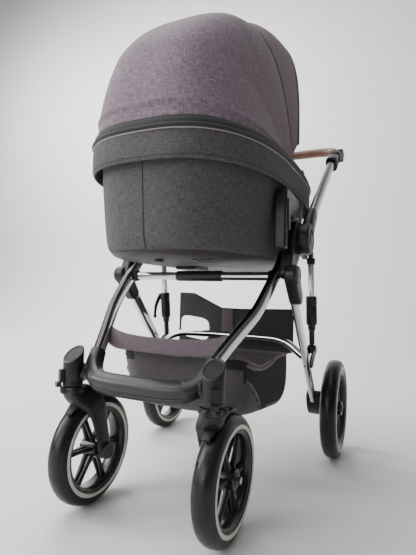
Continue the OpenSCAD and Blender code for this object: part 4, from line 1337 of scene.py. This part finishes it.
def make_cot_body():
    """The fabric body: nearly upright, a little crowned, tucked in under a soft bottom edge."""
    rows = [(529.5, 72), (532, 60), (535, 49), (539.5, 42.5), (546, 38.2), (556, 35.0), (580, 31.6),
            (620, 27.8),
            (660, 24.8), (690, 22.8), (706, 22.4), (724, 22.4)]
    rings = [cot_outline(*cot_inset(d), z, wave=1.3, seed=2.0) for z, d in rows]
    made = lofted("cot_body_cloth", rings, COT, "carrycot", sharp=70, slot="cot_fabric")
    thickened(made, 0.0018)
    subdivided(made)
    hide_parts("carrycot_shell")
    for tag, index in (("front", 0), ("rear", 80), ("left", 50), ("right", 110)):
        path = [ring[index] for ring in rings[3:]]
        mid = at(0, COT_MID, 620)
        line = []
        for p in path:
            out = Vector((p.x - mid.x, p.y - mid.y, 0)).normalized()
            line.append(p + out * 0.0003)
        swept(f"cot_{tag}_seam", line, section(8, 2.4, 1.2), X_AXIS, DARK_THREAD, "carrycot",
              slot="cot_fabric")


def make_cot_band():
    """The skirt below the zip: a band that stands off the body, with a rolled hem and a mauve piping."""
    rows = [(755.5, 4.4), (750, 3.6), (738, 3.0), (722, 3.2), (710, 3.8), (704, 4.4), (701.5, 5.4),
            (700.4, 7.0),
            (701.6, 8.8), (706, 10.0), (716, 11.0), (735, 12.5)]
    rings = [cot_outline(*cot_inset(d), z, wave=2.2 if k < 10 else 0.6, seed=7.0)
             for k, (z, d) in enumerate(rows)]
    made = lofted("cot_band_cloth", rings, COT, "carrycot", sharp=70, slot="cot_fabric")
    subdivided(made)
    stitch = [p + Vector((p.x, p.y + 0.1, 0)).normalized() * 0.0004 for p in
              cot_outline(*cot_inset(3.4), 707.5, wave=2.2, seed=7.0)]
    ring_cord("cot_band_stitch", stitch, 0.8, DARK_THREAD, "carrycot", "cot_fabric")
    ring_cord("cot_piping", cot_outline(*cot_inset(3.6), 756.2), 2.3, PIPING, "carrycot", "cot_fabric")


def ring_cord(name, line, d, mat, body, slot, w=None):
    """A cord d thick, and w high where given, round a closed level line."""
    rings = []
    n = len(line)
    for i, p in enumerate(line):
        t = (line[(i + 1) % n] - line[i - 1]).normalized()
        v = t.cross(Z_AXIS)
        rings.append([p + Z_AXIS * (a / 1000) + v * (b / 1000) for a, b in section(10, w or d, d, 2.2)])
    lofted(name, rings, mat, body, joined=True, slot=slot)


def make_zip():
    """Two black tapes with the zip's coil between them, and a puller at the right rear."""
    rows = [(757.2, 6.0), (757.6, 2.6), (760.2, 1.6), (761.0, 0.8), (763.2, 0.6), (764.0, 1.6), (767.4, 2.8),
            (768.0, 9.0)]
    rings = [cot_outline(*cot_inset(d), z, n=200) for z, d in rows]
    made = lofted("zip_band", rings, TAPE, "carrycot", sharp=40, slot="zip_tape")
    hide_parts("carrycot_zip")
    ring_cord("zip_coil", cot_outline(*cot_inset(1.0), 762.1, n=200), 2.4, ZIP, "carrycot", "zip_tape", 3.6)
    upper = [(767.2, 4.2), (769, 3.6), (777, 5.2), (779.5, 6.8), (778.5, 11)]
    rings = [cot_outline(*cot_inset(d), z, n=160) for z, d in upper]
    lofted("zip_upper_tape", rings, TAPE, "carrycot", sharp=40, slot="zip_tape")
    spot = at(-170, 400, 761)
    pull = rounded_path([(-3, 0), (3, 0), (4.4, -15), (0, -24, 4), (-4.4, -15)], 2.2)
    verts = []
    for x in (-0.9, 0.9):
        for p in pull:
            verts.append(spot + Vector((x - 14, p[0] + 6, p[1])) / 1000)
    puller = piece("zip_puller", verts, prism_faces(len(pull)), STEEL, "carrycot", slot="zip_tape")
    bevelled(puller, 0.5, 2)


def make_lining():
    """The quilted inside of the cot, from the zip down to the mattress."""
    rows = [(757, 10), (752, 15), (735, 19), (700, 25), (650, 30), (610, 36), (585, 44), (572, 54), (566, 62)]
    rings = []
    for z, d in rows:
        ring = cot_outline(*cot_inset(d), z, n=200)
        mid = at(0, COT_MID, z)
        for k, p in enumerate(ring):
            puff = 2.6 * abs(math.sin(20 * math.pi * k / 200)) * (1 if 570 < z < 745 else 0)
            ring[k] = p + (mid - p).normalized() * (puff / 1000)
        rings.append(ring)
    made = lofted("cot_lining", rings, LINER, "carrycot", sharp=70, slot="cot_fabric")
    thickened(made, 0.002)


def make_tray():
    """The hard tray under the body, a shallow dish with vents and the backrest's mechanism box."""
    rows = [(536.5, 45), (533.5, 47.5), (530.4, 54), (528.2, 66), (526.6, 90), (526, 130), (525.8, 180),
            (525.8, 219)]
    rings = [cot_outline(*cot_inset(d), z, n=140) for z, d in rows]
    made = lofted("cot_tray_dish", rings, TRAY, "carrycot", caps=True, sharp=60, slot="tray_plastic")
    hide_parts("carrycot_tray")
    box = [(527, 1.0), (521, 1.0), (518.6, 0.97), (517.6, 0.9), (517.6, 0.02)]
    rings = []
    outline = rounded_path([(-96, 10), (-36, 10), (-36, 100), (-96, 100)], 9)
    cx = sum(p[0] for p in outline) / len(outline)
    cy = sum(p[1] for p in outline) / len(outline)
    for z, k in box:
        rings.append([at(cx + (p[0] - cx) * k, cy + (p[1] - cy) * k, z) for p in outline])
    lofted("mechanism_box", rings, BLACK, "carrycot", caps=True, sharp=35, slot="tray_plastic")
    for i, (x, y) in enumerate(((60, -175), (78, -178), (96, -180), (60, -150), (78, -153), (96, -155))):
        slot_path = [at(x, y - 8, 525.5), at(x, y, 525.4), at(x, y + 8, 525.5)]
        swept(f"tray_vent_{i}", slot_path, section(12, 5.0, 1.6, 2.6), X_AXIS, GLOSS, "carrycot",
              slot="tray_plastic")


def make_knob():
    body = "backrest_knob"
    rings = []
    for z, r, lobe in ((531.6, 9.0, 0), (529, 9.4, 0.4), (523, 9.4, 0.5), (521, 8.6, 0.3), (520.2, 7.0, 0),
                       (520.2, 0.2, 0)):
        ring = []
        for j in range(72):
            a = 2 * math.pi * j / 72
            out = r + lobe * math.sin(12 * a)
            ring.append(at(KNOB[0] + out * math.cos(a), KNOB[1] + out * math.sin(a), z))
        rings.append(ring)
    made = lofted("backrest_knob_moulding", rings, BLACK, body, caps=True, sharp=35)
    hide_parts(body)


def make_brackets():
    first = None
    for side, sign in SIDES:
        shape = rounded_path([(-80, 640), (-80, 556, 6), (-54, 556, 6), (-50, 632, 12), (50, 640, 10),
                              (50, 684, 14),
                              (-70, 692, 16)], 8)
        made = plate(f"{side}_cot_bracket", shape, sign * 200, sign * 225.5, BLACK, "carrycot", 4.0)
        first = first or made
        lever = rounded_path([(-66, 668), (-62, 600, 4), (-46, 600, 4), (-42, 668, 8)], 8)
        plate(f"{side}_cot_release", lever, sign * 225, sign * 228.4, SATIN, "carrycot", 1.2)
    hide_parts("cot_brackets")


def make_mattress():
    """The mattress: swollen from a slimmer pad, then sewn down along channels."""
    rows = [(558, 66), (561, 61), (566, 58.5), (576, 58.5), (580, 61), (582.5, 66), (583.4, 90), (583.6, 140)]
    rings = [cot_outline(*cot_inset(d), z, n=120) for z, d in rows]
    made = lofted("mattress_pad", rings, BED, "carrycot", caps=True, sharp=80, slot="mattress_fabric")
    swell(made, 0.006, 3.5, 0.009)
    channels(made)
    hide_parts("mattress")


def swell(made, voxel, pressure, cap):
    """Blows a closed pad up under pressure for 20 frames and keeps each point within cap of its start."""
    mod = made.modifiers.new("remesh", "REMESH")
    mod.mode = "VOXEL"
    mod.voxel_size = voxel
    apply_all(made)
    start = np.array([v.co for v in made.data.vertices])
    cloth = made.modifiers.new("cloth", "CLOTH")
    cloth.settings.use_pressure = True
    cloth.settings.uniform_pressure_force = pressure
    cloth.settings.quality = 4
    cloth.settings.effector_weights.gravity = 0
    cloth.point_cache.frame_end = 20
    for f in range(1, 21):
        bpy.context.scene.frame_set(f)
    apply_all(made)
    now = np.array([v.co for v in made.data.vertices])
    step = now - start
    far = np.linalg.norm(step, axis=1)
    keep = np.minimum(1.0, cap / np.maximum(far, 1e-9))
    made.data.vertices.foreach_set("co", (start + step * keep[:, None]).astype(np.float32).ravel())
    bpy.context.scene.frame_set(1)
    made.data.update()


def apply_all(made):
    deps = bpy.context.evaluated_depsgraph_get()
    mesh = bpy.data.meshes.new_from_object(made.evaluated_get(deps))
    old = made.data
    made.modifiers.clear()
    made.data = mesh
    bpy.data.meshes.remove(old)
    mesh.polygons.foreach_set("use_smooth", [True] * len(mesh.polygons))


def channels(made):
    """Sewn diamonds: the top dips along two sets of slanted lines."""
    for v in made.data.vertices:
        x, y = v.co.x * 1000, v.co.y * 1000 + CENTRE_Y
        if v.co.z < 0.57:
            continue
        dip = 0.0
        for lean in (1, -1):
            phase = (x * 0.7 + lean * y * 0.7) % 62.0
            off = min(phase, 62.0 - phase)
            dip = max(dip, math.exp(-((off / 4.5) ** 2)))
        v.co.z -= 0.0035 * dip * min(1.0, (v.co.z - 0.57) / 0.012)


# ---------------------------------------------------------------- apron
def cot_half_at(y, inset):
    half, front, rear = cot_inset(inset)
    reach = rear - COT_MID
    t = min(1.0, max(0.0, (y - COT_MID) / reach))
    return half * (1 - t ** 2.78) ** (1 / 2.78)


def make_apron():
    """The foot cover: zipped round the rear rim, a low dome with an open folded front edge."""
    rows, cols = 36, 44
    rings = []
    for i in range(rows + 1):
        t = i / rows
        y = 213 + (COT_REAR - 5 - 213) * (1 - (1 - t) ** 1.6)
        half = cot_half_at(y, 4.6)
        ring = []
        for j in range(cols + 1):
            s = 2 * j / cols - 1
            s = math.copysign(1 - (1 - abs(s)) ** 1.35, s)
            edge = 1 - abs(s) ** 3.2
            back = 1 - max(0.0, (y - 380) / (COT_REAR - 385)) ** 2.5 if y > 380 else 1.0
            wrinkle = 1.6 * noise.noise(Vector((s * 3, y * 0.018, 4.0)))
            z = ZIP_Z + 8 + (24 + wrinkle) * edge ** 0.8 * max(0.0, back)
            ring.append(at(half * s, y, z))
        rings.append(ring)
    made = lofted("apron_cloth", rings, COT, "carrycot", closed=False, sharp=80, slot="cot_fabric")
    thickened(made, 0.0022)
    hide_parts("apron")
    fold = even([p + Vector((0, 0, 0.0004)) for p in rings[0]], 60)
    binding("apron_edge", fold, 3.4, 9.0, PIPING, "carrycot", "cot_fabric")
    seam = even([p + Vector((0, 0, 0.0012)) for p in rings[9]], 60)
    binding("apron_seam", seam, 1.2, 1.6, DARK_THREAD, "carrycot", "cot_fabric")


# ---------------------------------------------------------------- hood
# The hood's reach, half width and squareness by angle. These three tables began as the output of a
# least-squares fit to the hood's outline in the photo and were then adjusted.
REACH = ((0, 459.0), (8, 460.5), (22, 457.0), (45, 418.0), (58, 399.0), (61, 392.5), (66, 393.5), (78, 398.0),
         (92, 400.0))
HALF = ((0, 213.0), (8, 198.0), (22, 184.0), (45, 188.0), (61, 189.0), (67, 190.0), (92, 196.0))
POWER = ((0, 0.66), (22, 0.66), (45, 0.58), (67, 0.58), (92, 0.46))


def look_up(table, a):
    return float(np.interp(a, [p[0] for p in table], [p[1] for p in table]))


def hood_point(a, t):
    """A point of the hood: a is the angle up from the front, t runs 0 to 180 from side to side."""
    e = look_up(POWER, a)
    out = look_up(REACH, a) * abs(math.sin(math.radians(t))) ** e
    c = math.cos(math.radians(t))
    x = look_up(HALF, a) * math.copysign(abs(c) ** e, c)
    ar = math.radians(a)
    return at(x, HOOD_PIVOT[0] - out * math.cos(ar), HOOD_PIVOT[1] + out * math.sin(ar))


def hood_arch(a, count):
    return even([hood_point(a, 2.0 + 176.0 * k / 300) for k in range(301)], count)


def smooth_step(a, b, x):
    t = min(1.0, max(0.0, (x - a) / (b - a)))
    return t * t * (3 - 2 * t)


def hood_rows(a0, a1, step):
    """The angles of a sheet's arches: close together near the hem, step apart above it."""
    out = []
    a = a0
    while a < a1 - 0.01:
        out.append(a)
        a += 0.45 if a < 5.4 else step
    out.append(a1)
    return out


def hood_sheet(name, angles, grow_at, count=150):
    axis = at(0, *HOOD_PIVOT)
    rings = []
    for a in angles:
        line = []
        for k, p in enumerate(hood_arch(a, count)):
            out = Vector((p.x * 0.55, p.y - axis.y, p.z - axis.z)).normalized()
            line.append(p + out * (grow_at(a, k / (count - 1)) / 1000))
        rings.append(line)
    made = lofted(name, rings, HOOD, None, closed=False, sharp=80, slot="hood_fabric")
    return made, rings


def hump(x, centre, width):
    return math.exp(-(((x - centre) / width) ** 2))


def front_grow(a, s):
    """How far the front sheet stands off its plain form: hem, welt, gathers, pulls and a soft crown."""
    edge = smooth_step(0.0, 0.1, s) * smooth_step(1.0, 0.9, s)
    gather = noise.noise(Vector((s * 74, a * 0.55, 1.0))) + 0.5 * noise.noise(Vector((s * 150, a * 0.8, 3.0)))
    hem = 1 - smooth_step(3.0, 3.9, a)
    welt = 2.6 * hump(a, 4.1, 0.42)
    value = -3.2 * hem + 1.2 * gather * hem + welt * edge
    crown = 3.0 * hump(a, 49, 8.5) * edge
    slow = 2.4 * noise.noise(Vector((s * 4.0, a * 0.05, 8.0)))
    pull = 1.5 * math.sin(s * 30 + a * 0.42) * hump(s, 0.72, 0.13) * hump(a, 34, 15)
    pleat = 1.3 * math.sin(s * 34 - a * 0.5) * hump(s, 0.3, 0.1) * hump(a, 44, 11)
    folds = (slow + pull + pleat) * smooth_step(4.5, 10, a)
    return value + edge * (crown + folds) - 2.2 * hump(a, MID_ANGLE, 1.6)


def rear_grow(a, s):
    """How far the rear sheet stands off: fuller between the two bows, drawn in at the middle one."""
    edge = smooth_step(0.0, 0.1, s) * smooth_step(1.0, 0.9, s)
    middle = math.sin(math.pi * min(1, max(0, (a - MID_ANGLE) / (REAR_ANGLE - MID_ANGLE))))
    slow = 2.0 * noise.noise(Vector((s * 5.0, a * 0.07, 12.0)))
    valley = -2.2 * hump(a, MID_ANGLE, 1.6)
    return edge * (5.0 * middle ** 0.8 + slow * middle) + valley


def make_hood():
    front, rings = hood_sheet("hood_front_cloth", hood_rows(0.0, MID_ANGLE, 1.7), front_grow)
    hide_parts("hood_front")
    rear, back_rings = hood_sheet("hood_rear_cloth", hood_rows(MID_ANGLE + 0.3, REAR_ANGLE, 1.7), rear_grow)
    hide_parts("hood_rear")
    for o in (front, rear):
        o.data.flip_normals()
        o.data.materials.append(LINER)
        mod = thickened(o, 0.0022)
        mod.offset = -1.0
        mod.use_flip_normals = False
        mod.material_offset = 1
        mod.material_offset_rim = 0
    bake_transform(front)
    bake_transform(rear)
    # piping along the middle hoop and a bound rear edge
    ridge = even(rings[-1], 120)
    swept("hood_mid_seam", ridge, section(10, 3.4, 2.6), Y_AXIS, DARK_THREAD, "hood_mid_bow",
          slot="hood_fabric")
    edge = even(back_rings[-1], 140)
    swept("hood_rear_binding", edge, section(16, 12.0, 4.6, 3.0), Y_AXIS, TAPE, "hood_rear_bow",
          slot="hood_fabric")
    hem = [p + Z_AXIS * 0.0006 for p in rings[0]]
    swept("hood_hem_tape", even(hem, 140), section(12, 5.0, 2.6, 3.0), Z_AXIS, TAPE, "carrycot",
          slot="hood_fabric")


def make_hood_metal():
    for side, sign in SIDES:
        hub = [(0, 12.5), (2, 13), (11, 13), (14.5, 12.0), (15.8, 9.8), (15.0, 8.6), (15.6, 0.2)]
        made = turned(f"{side}_hood_hub", hub, at(sign * 196.5, *HOOD_PIVOT), (sign, 0, 0), BLACK,
                      "carrycot", 48,
                      sharp=35)
        if sign > 0:
            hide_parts("hood_hubs")
        tab = rounded_path([(138, 744), (162, 744), (160, 782), (140, 782)], 5)
        plate(f"{side}_hood_tab", tab, sign * 200.5, sign * 207, BLACK, "carrycot", 1.2)
    finish_node("hood_mid_bow", BLACK)
    finish_node("hood_rear_bow", BLACK)


def fold_basket():
    """Gives each of the basket's cloth pieces a mesh of its own."""
    names = ["basket_bag", "basket_floor", "basket_rim", "basket_back_panel", "back_panel_binding",
             "back_panel_strip"]
    names += [f"{side}_pocket_{part}" for side, _ in SIDES for part in ("seam", "binding")]
    for name in names:
        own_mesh(bpy.data.objects[name])


def finish_locks():
    for side, _ in SIDES:
        finish_node(f"{side}_swivel_lock", BLACK, bevel=0.8)


def build():
    make_camera()
    make_stage()
    make_light()
    make_wheels()
    for side, sign in SIDES:
        make_fork(side, sign)
        make_collar(side, sign)
        make_swivel_housing(side, sign)
        make_front_tube(side, sign)
        make_hinge_housing(side, sign)
        make_handle_hinge(side, sign)
        make_handle_tube(side, sign)
        make_slider(side, sign)
        make_knuckle(side, sign)
        make_rear_leg(side, sign)
        make_strut(side, sign)
    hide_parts("leg_pivot_caps")
    make_bumper()
    make_handlebar()
    make_arch()
    make_axle_blocks()
    make_pedal()
    make_hook()
    make_strut_feet()
    make_cross()
    make_basket()
    make_strap()
    make_rear_panel()
    make_cot_body()
    make_cot_band()
    make_zip()
    make_lining()
    make_tray()
    make_knob()
    make_brackets()
    make_mattress()
    make_apron()
    make_hood()
    make_hood_metal()
    finish_locks()
    fold_basket()


build()
